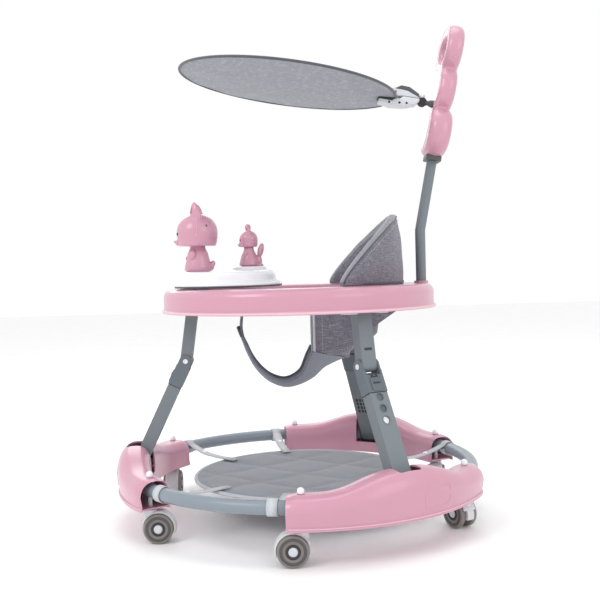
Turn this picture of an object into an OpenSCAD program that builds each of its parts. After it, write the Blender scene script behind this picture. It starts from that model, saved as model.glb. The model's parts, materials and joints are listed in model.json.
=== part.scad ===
// Folding baby walker: a round wheeled base, three folding legs, a ring-shaped seat frame
// with a play tray and a fabric seat, and a push rod with a handle and a round sunshade.
// +Z is up, the walker's front faces -Y, and the origin is on the floor at its centre.

/* [Base ring] */
// Radius of the base tube's centreline
base_r = 330; // [280:1:400]
// Outer diameter of the base tube
tube_d = 25; // [20:1:30]
// Wall of the base tube
tube_wall = 1.5; // [1:0.1:2.5]
// Height of the tube's centreline above the floor
tube_z = 95; // [85:1:115]
// Half of the angle that a bumper covers
bumper_half_angle = 36; // [30:1:42]
// Radial width of a bumper
bumper_w = 58; // [50:1:70]
// Wall of the bumper shells
bumper_wall = 3; // [2:0.5:4]
// Height of the hump at the middle of a bumper
hump_h = 32; // [20:1:40]
// Radius of the hump's arch
hump_arch = 62; // [50:1:80]

/* [Casters] */
// Wheel diameter
wheel_d = 54; // [45:1:60]
// Width of one wheel
wheel_w = 11; // [8:0.5:13]
// Distance from the swivel axis back to the axle
caster_trail = 15; // [10:1:18]
// Diameter of the swivel stem
stem_d = 8; // [6:0.5:9]
// Angle of a caster from the middle of its bumper
caster_offset_angle = 32; // [26:1:33]

/* [Legs] */
// Radial depth of the lower leg
leg_d = 25; // [22:1:30]
// Tangential width of the lower leg
leg_w = 37; // [30:1:44]
// Wall of the lower leg
leg_wall = 2.5; // [2:0.1:3.5]
// Length of the lower leg above its pivot
lower_leg_l = 184; // [160:1:200]
// Gap between the lower leg's top and the knee pivot
knee_rise = 53; // [50:1:64]
// Radial distance of the knee outside the frame pivot
knee_out = 16; // [12:1:22]
// Radial depth of the upper leg
upper_d = 22; // [18:1:26]
// Diameter of the pivot pins
pin_d = 6; // [5:0.5:7]
// Distance between two height holes
hole_pitch = 21; // [18:1:24]
// Diameter of a height hole
hole_d = 14; // [10:0.5:16]

/* [Seat frame] */
// Outer radius of the seat frame
frame_r = 268; // [240:1:300]
// Radial width of the seat frame
frame_w = 82; // [78:1:96]
// Height of the seat frame's underside above the floor
frame_z = 405; // [395:1:450]
// Height of the seat frame
frame_h = 45; // [40:1:56]
// Wall of the seat frame
frame_wall = 3; // [2:0.5:4]
// Height of the play tray
tray_h = 30; // [20:1:40]
// Radius of the play tray's round ends
tray_r = 100; // [90:1:106]
// Distance between the centres of the tray's round ends
tray_span = 130; // [100:1:150]

/* [Seat] */
// Thickness of the seat's cloth and padding
cloth_t = 4; // [3:0.5:6]
// Height of the backrest above the seat frame
backrest_h = 138; // [110:1:165]
// Thickness of the backrest
backrest_t = 14; // [10:1:18]
// Drop of the crotch strap below the frame's underside
strap_drop = 152; // [130:1:160]
// Width of the crotch strap
strap_w = 76; // [60:1:90]

/* [Push rod and shade] */
// Diameter of the push rod
rod_d = 20; // [16:1:24]
// Height of the rod's bend above the seat frame's top
rod_bend_h = 104; // [90:1:130]
// Backward lean of the rod above its bend
rod_lean = 11; // [8:0.5:14]
// Length of the rod from its bend to the handle
rod_upper_l = 145; // [120:1:170]
// Depth to which the rod goes into its socket
rod_seat = 34; // [26:1:36]
// Diameter of the sunshade
shade_d = 430; // [360:1:500]
// Thickness of the sunshade
shade_t = 4; // [3:0.5:6]
// Upward lean of the sunshade towards the front
shade_lean = 8.5; // [4:0.5:12]

/* [Hidden] */
LEGS = ["front", "left", "right"];
LEG_ANGLES = [-90, 30, 150];
CASTERS = ["front_left", "mid_left", "rear_left", "rear_right", "mid_right", "front_right"];
CASTER_ANGLES = [LEG_ANGLES[0] + caster_offset_angle, LEG_ANGLES[1] - caster_offset_angle,
    LEG_ANGLES[1] + caster_offset_angle, LEG_ANGLES[2] - caster_offset_angle,
    LEG_ANGLES[2] + caster_offset_angle, LEG_ANGLES[0] - caster_offset_angle];
// Direction in which each caster's wheels trail, at rest
TRAIL_ANGLES = [90, -90, 210, -10, 0, 0];

$fn = 48;
// Running clearance of a pin in its bore, and the gap between pieces that slide
run_gap = 0.05;
slide_gap = 0.3;
side_gap = 0.5;

tube_r = tube_d / 2;
// Half of the gap between two tube ends, where a leg and its bracket stand
cheek_t = 3;
bracket_half = leg_w / 2 + side_gap + cheek_t;
tube_end_angle = asin((bracket_half + side_gap) / (base_r - tube_r));

// Leg pivots in the leg's own plane, as [radius, height]
foot_pivot = [base_r, tube_z];
frame_pivot = [frame_r - 58, frame_z + 9];
leg_line = lower_leg_l + knee_rise;
knee_x = frame_pivot[0] + knee_out;
knee_pivot = [knee_x, tube_z + sqrt(pow(leg_line, 2) - pow(base_r - knee_x, 2))];
lower_tilt = asin((base_r - knee_x) / leg_line);
upper_l = norm(frame_pivot - knee_pivot);
upper_tilt = atan2(knee_x - frame_pivot[0], frame_pivot[1] - knee_pivot[1]);

// Caster and bumper heights
axle_z = wheel_d / 2;
axle_d = 5;
yoke_w = 15;
yoke_r = wheel_d / 2 + 4;
yoke_top = axle_z + yoke_r + 2;
bumper_bottom = max(tube_z - 33, yoke_top + 1.5);
bumper_top = tube_z + 23;
stem_top = bumper_top + 7;
base_plate_t = 3;

frame_top = frame_z + frame_h;
frame_in = frame_r - frame_w;
rod_y = frame_r - 24;
rod_bend = [rod_y, frame_top + rod_bend_h];
rod_end = rod_bend + rod_upper_l * [sin(rod_lean), cos(rod_lean)];
shade_r = shade_d / 2;

// ---- Helpers ----

// Places children in a leg's frame: +X points out from the centre
module at_angle(a) {
    rotate([0, 0, a])
        children();
}

// Places children at a point of the leg's plane, with +Z along a line that leans inwards
module on_leg(point, tilt) {
    translate([point[0], 0, point[1]])
        rotate([0, -tilt, 0])
            children();
}

// A bar along Y, centred
module cross_bar(d, l) {
    rotate([90, 0, 0])
        cylinder(d = d, h = l, center = true);
}

// A block centred in X and Y that stands on Z = 0
module block(x, y, z) {
    translate([-x / 2, -y / 2, 0])
        cube([x, y, z]);
}

// A sector of a ring of round section around the Z axis
module torus_part(r, section_r, from, to) {
    rotate([0, 0, from])
        rotate_extrude(angle = to - from, $fn = 180)
            translate([r, 0])
                circle(r = section_r);
}

// A closed solid skinned through a list of rings of points
module skin(rings) {
    n = len(rings[0]);
    m = len(rings);
    points = [for (ring = rings) for (p = ring) p];
    sides = [for (i = [0 : m - 2]) for (j = [0 : n - 1])
        let (k = (j + 1) % n)
        for (f = [[i * n + j, i * n + k, (i + 1) * n + k], [i * n + j, (i + 1) * n + k, (i + 1) * n + j]]) f];
    caps = [[for (j = [n - 1 : -1 : 0]) j], [for (j = [0 : n - 1]) (m - 1) * n + j]];
    polyhedron(points = points, faces = concat(sides, caps), convexity = 10);
}

// ---- Base ring ----

module tube_between(leg_a, leg_b) {
    color("slategray")
        translate([0, 0, tube_z])
            difference() {
                torus_part(base_r, tube_r, leg_a + tube_end_angle, leg_b - tube_end_angle);
                torus_part(base_r, tube_r - tube_wall, leg_a, leg_b);
                for (a = CASTER_ANGLES)
                    at_angle(a)
                        translate([base_r, 0, -tube_d])
                            cylinder(d = stem_d + 2 * run_gap, h = 2 * tube_d);
            }
}

// Half section of a bumper's skin, as [radius, height] points from its inner foot to its outer one
function bumper_section(inset) =
    let (half = bumper_w / 2 - inset, low = bumper_bottom, shoulder = tube_z - 6, rise = bumper_top - inset - shoulder)
    concat([[base_r - half, low]],
        [for (k = [8 : -1 : 0])
            let (a = 180 * k / 8)
            [base_r + half * cos(a), shoulder + rise * sin(a)]],
        [[base_r + half, low]]);

module bumper_sector(inset, half_angle) {
    rotate([0, 0, -half_angle])
        rotate_extrude(angle = 2 * half_angle, $fn = 180)
            polygon(bumper_section(inset));
}

// An egg-shaped swelling
module egg(x, y, z) {
    scale([x, y, z])
        rotate([0, 90, 0])
            rotate([90, 0, 0])
                sphere(r = 1);
}

module bumper_cover(leg_angle) {
    slot_w = leg_w + 2 * (cheek_t + side_gap) + 4;
    slot_out = leg_d / 2 + 4;
    wall_angle = bumper_wall / base_r * 180 / PI;
    hump_r = bumper_w / 2 + 1.5;
    hump_z = bumper_top + hump_h - hump_arch - hump_r;
    color("pink")
        at_angle(leg_angle)
            difference() {
                union() {
                    bumper_sector(0, bumper_half_angle);
                    // The hump is the upper half of a torus that arches over the leg's foot
                    intersection() {
                        translate([base_r, 0, hump_z])
                            rotate([0, 90, 0])
                                rotate_extrude($fn = 120)
                                    translate([hump_arch, 0])
                                        circle(r = hump_r);
                        translate([base_r, 0, bumper_bottom + 4])
                            block(3 * bumper_w, 6 * hump_arch, 6 * hump_arch);
                    }
                }
                translate([0, 0, -0.01])
                    bumper_sector(bumper_wall, bumper_half_angle - wall_angle);
                // The ends let the tube through
                for (side = [-1, 1])
                    translate([0, 0, tube_z])
                        torus_part(base_r, tube_r + 0.4, side * bumper_half_angle - 4, side * bumper_half_angle + 4);
                // The slot in which the leg stands and folds inwards
                translate([base_r - bumper_w, -slot_w / 2, tube_z - tube_r])
                    cube([bumper_w + slot_out, slot_w, 3 * hump_h]);
                for (side = [-1, 1])
                    rotate([0, 0, side * caster_offset_angle])
                        translate([base_r, 0, tube_z])
                            cylinder(d = stem_d + 1, h = 60);
            }
}

module bumper_plate(leg_angle) {
    inner = base_r - bumper_w / 2 + bumper_wall + 0.6;
    outer = base_r + bumper_w / 2 - bumper_wall - 0.6;
    half = bumper_half_angle - 1.2;
    color("palevioletred")
        at_angle(leg_angle)
            difference() {
                rotate([0, 0, -half])
                    rotate_extrude(angle = 2 * half, $fn = 180)
                        translate([inner, bumper_bottom + 0.5])
                            square([outer - inner, base_plate_t]);
                for (side = [-1, 1])
                    rotate([0, 0, side * caster_offset_angle])
                        translate([base_r, 0, 0])
                            cylinder(d = stem_d + 2 * run_gap, h = tube_z);
            }
}

module leg_bracket(leg_angle) {
    plug_angle = 24 / base_r * 180 / PI;
    strip_z = tube_z - leg_d / 2 - 4;
    color("dimgray")
        at_angle(leg_angle)
            difference() {
                union() {
                    for (side = [-1, 1]) {
                        translate([base_r, side * (bracket_half - cheek_t / 2), tube_z])
                            cross_bar(tube_d + 4, cheek_t);
                        translate([0, 0, tube_z])
                            if (side > 0)
                                torus_part(base_r, tube_r - tube_wall - run_gap,
                                    tube_end_angle - 0.2, tube_end_angle + plug_angle);
                            else
                                torus_part(base_r, tube_r - tube_wall - run_gap,
                                    -tube_end_angle - plug_angle, 0.2 - tube_end_angle);
                    }
                    // A floor strip ties the two cheeks together below the leg's foot
                    translate([base_r - 11, -bracket_half, strip_z])
                        cube([22, 2 * bracket_half, 3]);
                    for (side = [-1, 1])
                        translate([base_r - 11, side * (bracket_half - cheek_t / 2) - cheek_t / 2, strip_z])
                            cube([22, cheek_t, tube_z - strip_z]);
                }
                translate([base_r, 0, tube_z])
                    cross_bar(pin_d + 2 * run_gap, 2 * bracket_half + 2);
            }
}

module caster_stems() {
    color("silver")
        for (a = CASTER_ANGLES)
            at_angle(a)
                translate([base_r, 0, 0]) {
                    translate([0, 0, yoke_top - 12])
                        cylinder(d = stem_d, h = stem_top - yoke_top + 12);
                    translate([0, 0, yoke_top + 0.3])
                        cylinder(d = stem_d + 5, h = bumper_bottom - yoke_top);
                }
}

// ---- Casters ----

module at_caster(i) {
    rotate([0, 0, CASTER_ANGLES[i]])
        translate([base_r, 0, 0])
            rotate([0, 0, TRAIL_ANGLES[i] - CASTER_ANGLES[i]])
                children();
}

module caster_housing(i) {
    boss_d = 24;
    color("lightgray")
        at_caster(i)
            difference() {
                union() {
                    intersection() {
                        translate([caster_trail, 0, axle_z])
                            cross_bar(2 * yoke_r, yoke_w);
                        translate([0, 0, axle_z - 8])
                            block(6 * yoke_r, yoke_w + 2, 2 * yoke_r);
                    }
                    translate([0, 0, axle_z])
                        cylinder(d = min(boss_d, 2 * yoke_w), h = yoke_top - axle_z);
                }
                translate([0, 0, yoke_top - 13])
                    cylinder(d = stem_d + 2 * run_gap, h = 20);
                translate([caster_trail, 0, axle_z])
                    cross_bar(axle_d + 2 * run_gap, 2 * yoke_w);
                // Clearance for the wheels beside the boss
                for (side = [-1, 1])
                    translate([caster_trail, side * (yoke_w / 2 + wheel_w), axle_z])
                        cross_bar(wheel_d + 2, 2 * wheel_w);
            }
}

module caster_wheels(i) {
    gap = 0.6;
    inner = yoke_w / 2 + gap;
    color("dimgray")
        at_caster(i)
            translate([caster_trail, 0, axle_z]) {
                for (side = [-1, 1])
                    translate([0, side * (inner + wheel_w / 2), 0])
                        rotate([90, 0, 0])
                            rotate_extrude($fn = 96)
                                polygon([[axle_d / 2, -wheel_w / 2], [wheel_d / 2 - 2, -wheel_w / 2],
                                    [wheel_d / 2, -wheel_w / 2 + 2], [wheel_d / 2, wheel_w / 2 - 2],
                                    [wheel_d / 2 - 2, wheel_w / 2], [axle_d / 2, wheel_w / 2]]);
                cross_bar(axle_d, 2 * (inner + wheel_w));
            }
}

// ---- Foot mat ----

mat_r = 215;
mat_t = 6;
mat_z = tube_z - 15;
strap_band = 18;
strap_angles = [for (a = LEG_ANGLES) for (side = [-1, 1]) a + side * (bumper_half_angle + 4)];

module foot_mat() {
    color("gray")
        translate([0, 0, mat_z - mat_t])
            cylinder(r = mat_r, h = mat_t, $fn = 120);
}

module mat_straps() {
    loop_r = tube_r + 2;
    half = strap_band / 2 / base_r * 180 / PI;
    run = base_r - tube_r - mat_r + 22;
    fall = tube_z - mat_z - 3;
    color("gainsboro")
        for (a = strap_angles)
            at_angle(a) {
                translate([0, 0, tube_z])
                    difference() {
                        torus_part(base_r, loop_r, -half, half);
                        torus_part(base_r, tube_r + 0.05, -2 * half, 2 * half);
                    }
                // The band from the loop to the mat's top
                translate([base_r - loop_r + 0.4, 0, tube_z - 1])
                    rotate([0, -atan2(fall, run), 0])
                        translate([-norm([run, fall]), -strap_band / 2, 0])
                            cube([norm([run, fall]) - 1, strap_band, 1.6]);
            }
}

// ---- Legs ----

module leg_pin(leg_angle) {
    color("silver")
        at_angle(leg_angle)
            translate([foot_pivot[0], 0, foot_pivot[1]])
                cross_bar(pin_d, 2 * bracket_half);
}

inner_d = leg_d - 2 * leg_wall - 2 * slide_gap;
inner_w = leg_w - 2 * leg_wall - 2 * slide_gap;
button_at = lower_leg_l - 51;

module lower_leg(leg_angle) {
    foot_solid = 26;
    color("slategray")
        at_angle(leg_angle)
            on_leg(foot_pivot, lower_tilt)
                difference() {
                    union() {
                        block(leg_d, leg_w, lower_leg_l);
                        cross_bar(leg_d, leg_w);
                    }
                    translate([0, 0, foot_solid])
                        block(leg_d - 2 * leg_wall, leg_w - 2 * leg_wall, lower_leg_l);
                    cross_bar(pin_d + 2 * run_gap, leg_w + 2);
                    for (k = [0 : 2])
                        translate([leg_d / 2, 0, button_at + k * hole_pitch])
                            rotate([0, 90, 0])
                                cylinder(d = hole_d, h = 3 * leg_wall, center = true);
                }
}

knee_w = leg_w + 2;
knee_d = leg_d + 2;
ear_t = 4;
upper_w = knee_w - 2 * ear_t - 2 * side_gap;
knee_block_top = leg_line - upper_d / 2 - 1;

module knee_housing(leg_angle) {
    insert_l = 106;
    fold_back = 28;
    latch_recess = [5, 15, 24];
    color("lightslategray")
        at_angle(leg_angle)
            on_leg(foot_pivot, lower_tilt) {
                difference() {
                    union() {
                        translate([0, 0, lower_leg_l + slide_gap])
                            block(knee_d, knee_w, knee_block_top - lower_leg_l - slide_gap);
                        translate([0, 0, lower_leg_l - insert_l])
                            block(inner_d, inner_w, insert_l + 10);
                        for (side = [-1, 1])
                            translate([0, side * (knee_w / 2 - ear_t / 2), 0]) {
                                translate([0, 0, leg_line])
                                    cross_bar(knee_d - 2, ear_t);
                                translate([0, 0, knee_block_top - 1])
                                    block(knee_d - 2, ear_t, leg_line - knee_block_top + 1);
                            }
                    }
                    // Recess for the fold latch, with room above it for its travel
                    translate([knee_d / 2 - latch_recess[0], -latch_recess[1] / 2, lower_leg_l + 5])
                        cube([latch_recess[0] + 1, latch_recess[1], latch_recess[2]]);
                    // Room for the upper leg when it is folded back over the block
                    translate([0, -(upper_w + side_gap) / 2, leg_line])
                        rotate([0, fold_back, 0])
                            translate([0, 0, -upper_d / 2 - 1.2])
                                cube([60, upper_w + side_gap, 60]);
                    // Blind bore for the height button
                    translate([inner_d / 2 - 12, 0, button_at])
                        rotate([0, 90, 0])
                            cylinder(d = hole_d - 1 + 2 * run_gap, h = 20);
                }
                translate([0, 0, leg_line])
                    cross_bar(pin_d, knee_w - 4);
            }
}

module upper_leg(leg_angle, top_bore) {
    color("slategray")
        at_angle(leg_angle)
            on_leg(knee_pivot, upper_tilt)
                difference() {
                    union() {
                        block(upper_d, upper_w, upper_l);
                        cross_bar(upper_d, upper_w);
                        translate([0, 0, upper_l])
                            cross_bar(upper_d, upper_w);
                    }
                    cross_bar(pin_d + 2 * run_gap, upper_w + 2);
                    translate([0, 0, upper_l])
                        cross_bar(top_bore, upper_w + 2);
                }
}

module fold_latch(leg_angle) {
    color("gray")
        at_angle(leg_angle)
            on_leg(foot_pivot, lower_tilt)
                translate([knee_d / 2 - 4.6, 0, lower_leg_l + 5.4])
                    difference() {
                        translate([0, -7, 0])
                            cube([6.6, 14, 16]);
                        translate([5, -5, 9])
                            cube([3, 10, 4]);
                    }
}

module height_button(leg_angle) {
    color("white")
        at_angle(leg_angle)
            on_leg(foot_pivot, lower_tilt)
                translate([inner_d / 2 - 6.5, 0, button_at])
                    rotate([0, 90, 0])
                        cylinder(d = hole_d - 1, h = 6.5);
}

// ---- Seat frame ----

top_ear_t = 3;
// The three legs form closed loops, so the rear legs need play in the ring's ears
loop_gap = 1.8;
top_ear_y = upper_w / 2 + loop_gap + top_ear_t / 2;
top_pin_l = 2 * top_ear_y + top_ear_t;

module frame_section() {
    corner = 16;
    inner_corner = 9;
    skirt = 13;
    h = frame_h;
    outer = [for (k = [0 : 6]) let (a = 90 * k / 6)
        [frame_r - 3 - corner + corner * cos(a), h - corner + corner * sin(a)]];
    inner = [for (k = [0 : 4]) let (a = 90 + 90 * k / 4)
        [frame_in + inner_corner + inner_corner * cos(a), h - inner_corner + inner_corner * sin(a)]];
    back = [for (k = [4 : -1 : 0]) let (a = 90 + 90 * k / 4, c = inner_corner - frame_wall)
        [frame_in + inner_corner + c * cos(a), h - inner_corner + c * sin(a)]];
    under = [for (k = [6 : -1 : 0]) let (a = 90 * k / 6, c = corner - frame_wall)
        [frame_r - 3 - corner + c * cos(a), h - corner + c * sin(a)]];
    translate([0, frame_z])
        polygon(concat([[frame_r, 0], [frame_r, 4], [frame_r - 3, 7]], outer, inner,
            [[frame_in, h - skirt], [frame_in + frame_wall, h - skirt]], back, under,
            [[frame_r - 3 - frame_wall, 7], [frame_r - 3 - frame_wall, 0]]));
}

module top_frame() {
    ear_x = frame_pivot[0];
    socket_d = rod_d + 8;
    color("pink")
        difference() {
            union() {
                rotate_extrude($fn = 180)
                    frame_section();
                for (a = LEG_ANGLES)
                    at_angle(a)
                        for (side = [-1, 1])
                            translate([ear_x, side * top_ear_y, frame_pivot[1]]) {
                                cross_bar(14, top_ear_t);
                                translate([-7, -top_ear_t / 2, 0])
                                    cube([14, top_ear_t, frame_top - 1 - frame_pivot[1]]);
                            }
                // Socket of the push rod, with its raised collar
                translate([0, rod_y, frame_top - rod_seat - 4])
                    cylinder(d = socket_d, h = rod_seat + 8);
            }
            for (a = LEG_ANGLES)
                at_angle(a)
                    translate([ear_x, 0, frame_pivot[1]])
                        cross_bar(pin_d + 2 * run_gap, top_pin_l + 4);
            translate([0, rod_y, frame_top - rod_seat])
                cylinder(d = rod_d + 2 * run_gap, h = rod_seat + 10);
        }
}

module top_pin(leg_angle) {
    color("silver")
        at_angle(leg_angle)
            translate([frame_pivot[0], 0, frame_pivot[1]])
                cross_bar(pin_d, top_pin_l);
}

tray_y = -(frame_r - 33 - tray_r);
post_d = 12;
kitten_at = [45, tray_y - 58];
squirrel_at = [-20, tray_y + 38];
deck_h = 10;
deck_r = 42;

module tray_outline(inset) {
    hull()
        for (side = [-1, 1])
            translate([side * tray_span / 2, tray_y])
                circle(r = tray_r - inset, $fn = 48);
}

module play_tray() {
    wall = 3;
    color("white")
        difference() {
            union() {
                translate([0, 0, frame_top + 0.2])
                    linear_extrude(tray_h)
                        tray_outline(8);
                translate([0, 0, frame_top + 0.2])
                    linear_extrude(8)
                        tray_outline(0);
                translate([squirrel_at[0], squirrel_at[1], frame_top])
                    cylinder(r = deck_r, h = tray_h + deck_h);
                for (p = [kitten_at, squirrel_at])
                    translate([p[0], p[1], frame_top + tray_h])
                        cylinder(d = post_d, h = (p == squirrel_at ? deck_h : 0) + 12);
            }
            translate([0, 0, frame_top - 1])
                linear_extrude(tray_h - wall + 1)
                    tray_outline(8 + wall);
        }
}

// A play figure that turns on a post: a skirted body, a head, two ears and a tail
module figure(size, tail) {
    bore = post_d + 0.6;
    difference() {
        union() {
            cylinder(r1 = 0.27 * size, r2 = 0.17 * size, h = 0.46 * size, $fn = 48);
            translate([0, 0, 0.66 * size])
                sphere(r = 0.29 * size, $fn = 40);
            for (side = [-1, 1])
                translate([side * 0.15 * size, 0, 0.9 * size])
                    sphere(r = 0.09 * size, $fn = 24);
            translate([0, -0.26 * size, 0.58 * size])
                sphere(r = 0.08 * size, $fn = 24);
            translate([0, tail[0] * size, tail[1] * size])
                sphere(r = tail[2] * size, $fn = 24);
        }
        translate([0, 0, -1])
            cylinder(d = bore, h = 14.5);
    }
}

module toy_kitten() {
    color("palevioletred")
        translate([kitten_at[0], kitten_at[1], frame_top + tray_h + 0.8])
            figure(132, [0.24, 0.2, 0.07]);
}

module toy_squirrel() {
    color("palevioletred")
        translate([squirrel_at[0], squirrel_at[1], frame_top + tray_h + deck_h + 0.6])
            figure(88, [0.27, 0.36, 0.15]);
}

// ---- Seat ----

sling_r = frame_in - 3;
sling_half = 77;
sling_front = 24;
sling_low = frame_z - 96;
backrest_r = frame_in + 14;

// Side profile of the sling's outer surface, as [Y, Z], from the front edge to the back
sling_profile = [[sling_front, sling_low + 8], [52, sling_low], [96, sling_low + 10],
    [134, sling_low + 40], [158, sling_low + 84], [164, frame_z + 24]];

module sling_shape(inset) {
    rotate([90, 0, 90])
        linear_extrude(2 * (sling_half - inset), center = true)
            polygon(concat(
                [for (p = sling_profile) [p[0] - inset, p[1] + inset]],
                [[sling_front - inset, frame_z + 24]]));
}

module seat_sling() {
    color("dimgray")
        difference() {
            sling_shape(0);
            difference() {
                translate([0, 0, 0])
                    sling_shape(cloth_t);
                translate([-sling_half - 1, sling_front - 40, sling_low - 40])
                    cube([2 * sling_half + 2, 38, 39]);
            }
            translate([-sling_half - 1, sling_front - 40, frame_z + 24 - cloth_t - 2])
                cube([2 * sling_half + 2, 240, 40]);
        }
}

module backrest() {
    half_angle = 68;
    backrest_slope = 41;
    color("gray")
        difference() {
            translate([0, 0, frame_top + 0.6])
                rotate([0, 0, 90 - half_angle])
                    rotate_extrude(angle = 2 * half_angle, $fn = 120)
                        translate([backrest_r - backrest_t + 12, 0])
                            square([backrest_t, backrest_h]);
            // The top edge falls from the back to the front of the wings
            translate([0, backrest_r + 14, frame_top + backrest_h])
                rotate([backrest_slope, 0, 0])
                    translate([-300, -400, 0])
                        cube([600, 420, 300]);
        }
}

// Centreline of the crotch strap, as [Y, Z], from the frame's front edge to the sling
strap_path = [[-112, frame_top - 22], [-110, frame_z - 20], [-107, frame_z - 42], [-104, frame_z - 60],
    [-96, frame_z - 84], [-80, frame_z - 116], [-54, frame_z - strap_drop + 12],
    [-26, frame_z - strap_drop + 2], [4, frame_z - strap_drop + 9], [30, frame_z - 120],
    [40, sling_low - 2]];

module crotch_strap() {
    n = len(strap_path);
    dirs = [for (i = [0 : n - 1])
        let (d = strap_path[min(i + 1, n - 1)] - strap_path[max(i - 1, 0)]) d / norm(d)];
    ring = function (i)
        let (p = strap_path[i], u = [-dirs[i][1], dirs[i][0]] * cloth_t / 2,
            w = strap_w / 2 * (0.62 + 0.38 * sin(180 * i / (n - 1))))
        [[-w, p[0] - u[0], p[1] - u[1]], [w, p[0] - u[0], p[1] - u[1]],
            [w, p[0] + u[0], p[1] + u[1]], [-w, p[0] + u[0], p[1] + u[1]]];
    color("dimgray")
        skin([for (i = [0 : n - 1]) ring(i)]);
}

// ---- Push rod, handle and shade ----

module on_rod() {
    translate([0, rod_bend[0], rod_bend[1]])
        rotate([-rod_lean, 0, 0])
            children();
}

module push_rod() {
    color("slategray") {
        translate([0, rod_y, frame_top - rod_seat + 0.2])
            cylinder(d = rod_d, h = rod_bend_h + rod_seat - 0.2);
        translate([0, rod_bend[0], rod_bend[1]])
            sphere(d = rod_d);
        on_rod()
            cylinder(d = rod_d, h = rod_upper_l + 36);
    }
}

// The handle's three tiers, each as [half width, half height, height of its middle above the rod's bend]
grip_t = 38;
low_tier = [62, 53, rod_upper_l + 51];
mid_tier = [54, 38, rod_upper_l + 136];
top_tier = [64, 47, rod_upper_l + 213];
loop_wide = 42;
loop_high = 22;
cap_r = 37;
cap_t = 5;

// One tier: a pillow with rounded edges and flat faces
module tier(t) {
    translate([0, 0, t[2]])
        intersection() {
            egg(t[0], grip_t * 0.72, t[1]);
            cube([3 * t[0], grip_t, 3 * t[1]], center = true);
        }
}

module handle() {
    color("pink")
        on_rod()
            difference() {
                union() {
                    tier(low_tier);
                    tier(mid_tier);
                    tier(top_tier);
                }
                translate([0, 0, top_tier[2] + 2]) {
                    translate([-loop_wide + loop_high, -grip_t, -loop_high])
                        cube([2 * (loop_wide - loop_high), 2 * grip_t, 2 * loop_high]);
                    for (side = [-1, 1])
                        translate([side * (loop_wide - loop_high), 0, 0])
                            cross_bar(2 * loop_high, 2 * grip_t);
                }
                // Bore for the rod, the hole for the shade's screw and the seat of the cap
                translate([0, 0, rod_upper_l - 20])
                    cylinder(d = rod_d + 2 * run_gap, h = 56.5);
                translate([0, 0, knuckle_z])
                    rotate([90, 0, 0])
                        cylinder(d = pin_d + 2 * run_gap, h = grip_t);
                translate([0, -grip_t / 2, low_tier[2] - 3])
                    cross_bar(2 * cap_r + 0.6, 4);
            }
}

module handle_cap() {
    color("white")
        on_rod()
            translate([0, 0.6 - grip_t / 2 - cap_t / 2, low_tier[2] - 3])
                cross_bar(2 * cap_r, cap_t);
}

knuckle_z = rod_upper_l + 104;
knuckle_reach = 20;
// The tilt axis of the shade, in the world
tilt_axis = rod_bend + [sin(rod_lean), cos(rod_lean)] * knuckle_z
    + [-cos(rod_lean), sin(rod_lean)] * (grip_t / 2 + knuckle_reach);
clip_l = 75;
jaw_grip = 23;

module shade_knuckle() {
    ball_d = 15;
    color("dimgray")
        difference() {
            union() {
                on_rod()
                    translate([0, 0, knuckle_z])
                        rotate([90, 0, 0]) {
                            cylinder(d = pin_d, h = grip_t / 2 + 12);
                            translate([0, 0, grip_t / 2 + 0.5])
                                cylinder(d = 8, h = knuckle_reach - 4);
                        }
                translate([0, tilt_axis[0], tilt_axis[1]])
                    rotate([0, 90, 0])
                        cylinder(d = ball_d, h = 8, center = true);
            }
            translate([0, tilt_axis[0], tilt_axis[1]])
                rotate([0, 90, 0])
                    cylinder(d = pin_d + 2 * run_gap, h = 20, center = true);
        }
}

module on_shade() {
    translate([0, tilt_axis[0], tilt_axis[1]])
        rotate([-shade_lean, 0, 0])
            children();
}

module shade_clip() {
    cheek = 4;
    color("darkslategray")
        on_shade() {
            difference() {
                union() {
                    for (side = [-1, 1])
                        translate([side * (4.5 + cheek / 2), 0, 0]) {
                            rotate([0, 90, 0])
                                cylinder(d = 16, h = cheek, center = true);
                            translate([-cheek / 2, -20, -8])
                                cube([cheek, 20, 16]);
                        }
                    // Jaws that hold the shade's rim
                    translate([-17, -clip_l, -9])
                        cube([34, clip_l - 12, 18]);
                }
                translate([-20, -clip_l - 1, -shade_t / 2 - 0.2])
                    cube([40, jaw_grip + 2, shade_t + 0.4]);
                rotate([0, 90, 0])
                    cylinder(d = pin_d, h = 30, center = true);
            }
            rotate([0, 90, 0])
                cylinder(d = pin_d, h = 22, center = true);
        }
}

module sunshade() {
    color("gray")
        on_shade()
            translate([0, -(clip_l + shade_r - jaw_grip), -shade_t / 2])
                cylinder(r = shade_r, h = shade_t, $fn = 120);
}

// ---- Nodes ----

tube_between(LEG_ANGLES[0], LEG_ANGLES[1]);  // base_tube_left
tube_between(LEG_ANGLES[1], LEG_ANGLES[2]);  // base_tube_rear
tube_between(LEG_ANGLES[2], LEG_ANGLES[0] + 360);  // base_tube_right
for (i = [0 : 2]) {
    bumper_cover(LEG_ANGLES[i]);
    bumper_plate(LEG_ANGLES[i]);
    leg_bracket(LEG_ANGLES[i]);
    leg_pin(LEG_ANGLES[i]);
    lower_leg(LEG_ANGLES[i]);
    knee_housing(LEG_ANGLES[i]);
    upper_leg(LEG_ANGLES[i], i == 0 ? pin_d + 2 * run_gap : pin_d + 7);
    fold_latch(LEG_ANGLES[i]);
    height_button(LEG_ANGLES[i]);
}
for (i = [0 : 5]) {
    caster_housing(i);
    caster_wheels(i);
}
caster_stems();
foot_mat();
mat_straps();
top_pin(LEG_ANGLES[0]);  // top_pin_front
union() {  // top_pins_rear
    top_pin(LEG_ANGLES[1]);
    top_pin(LEG_ANGLES[2]);
}
top_frame();
play_tray();
toy_kitten();
toy_squirrel();
seat_sling();
backrest();
crotch_strap();
push_rod();
handle();
handle_cap();
shade_knuckle();
shade_clip();
sunshade();
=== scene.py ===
import json
import math
import bpy
import bmesh
from mathutils import Matrix, Vector, noise


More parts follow.
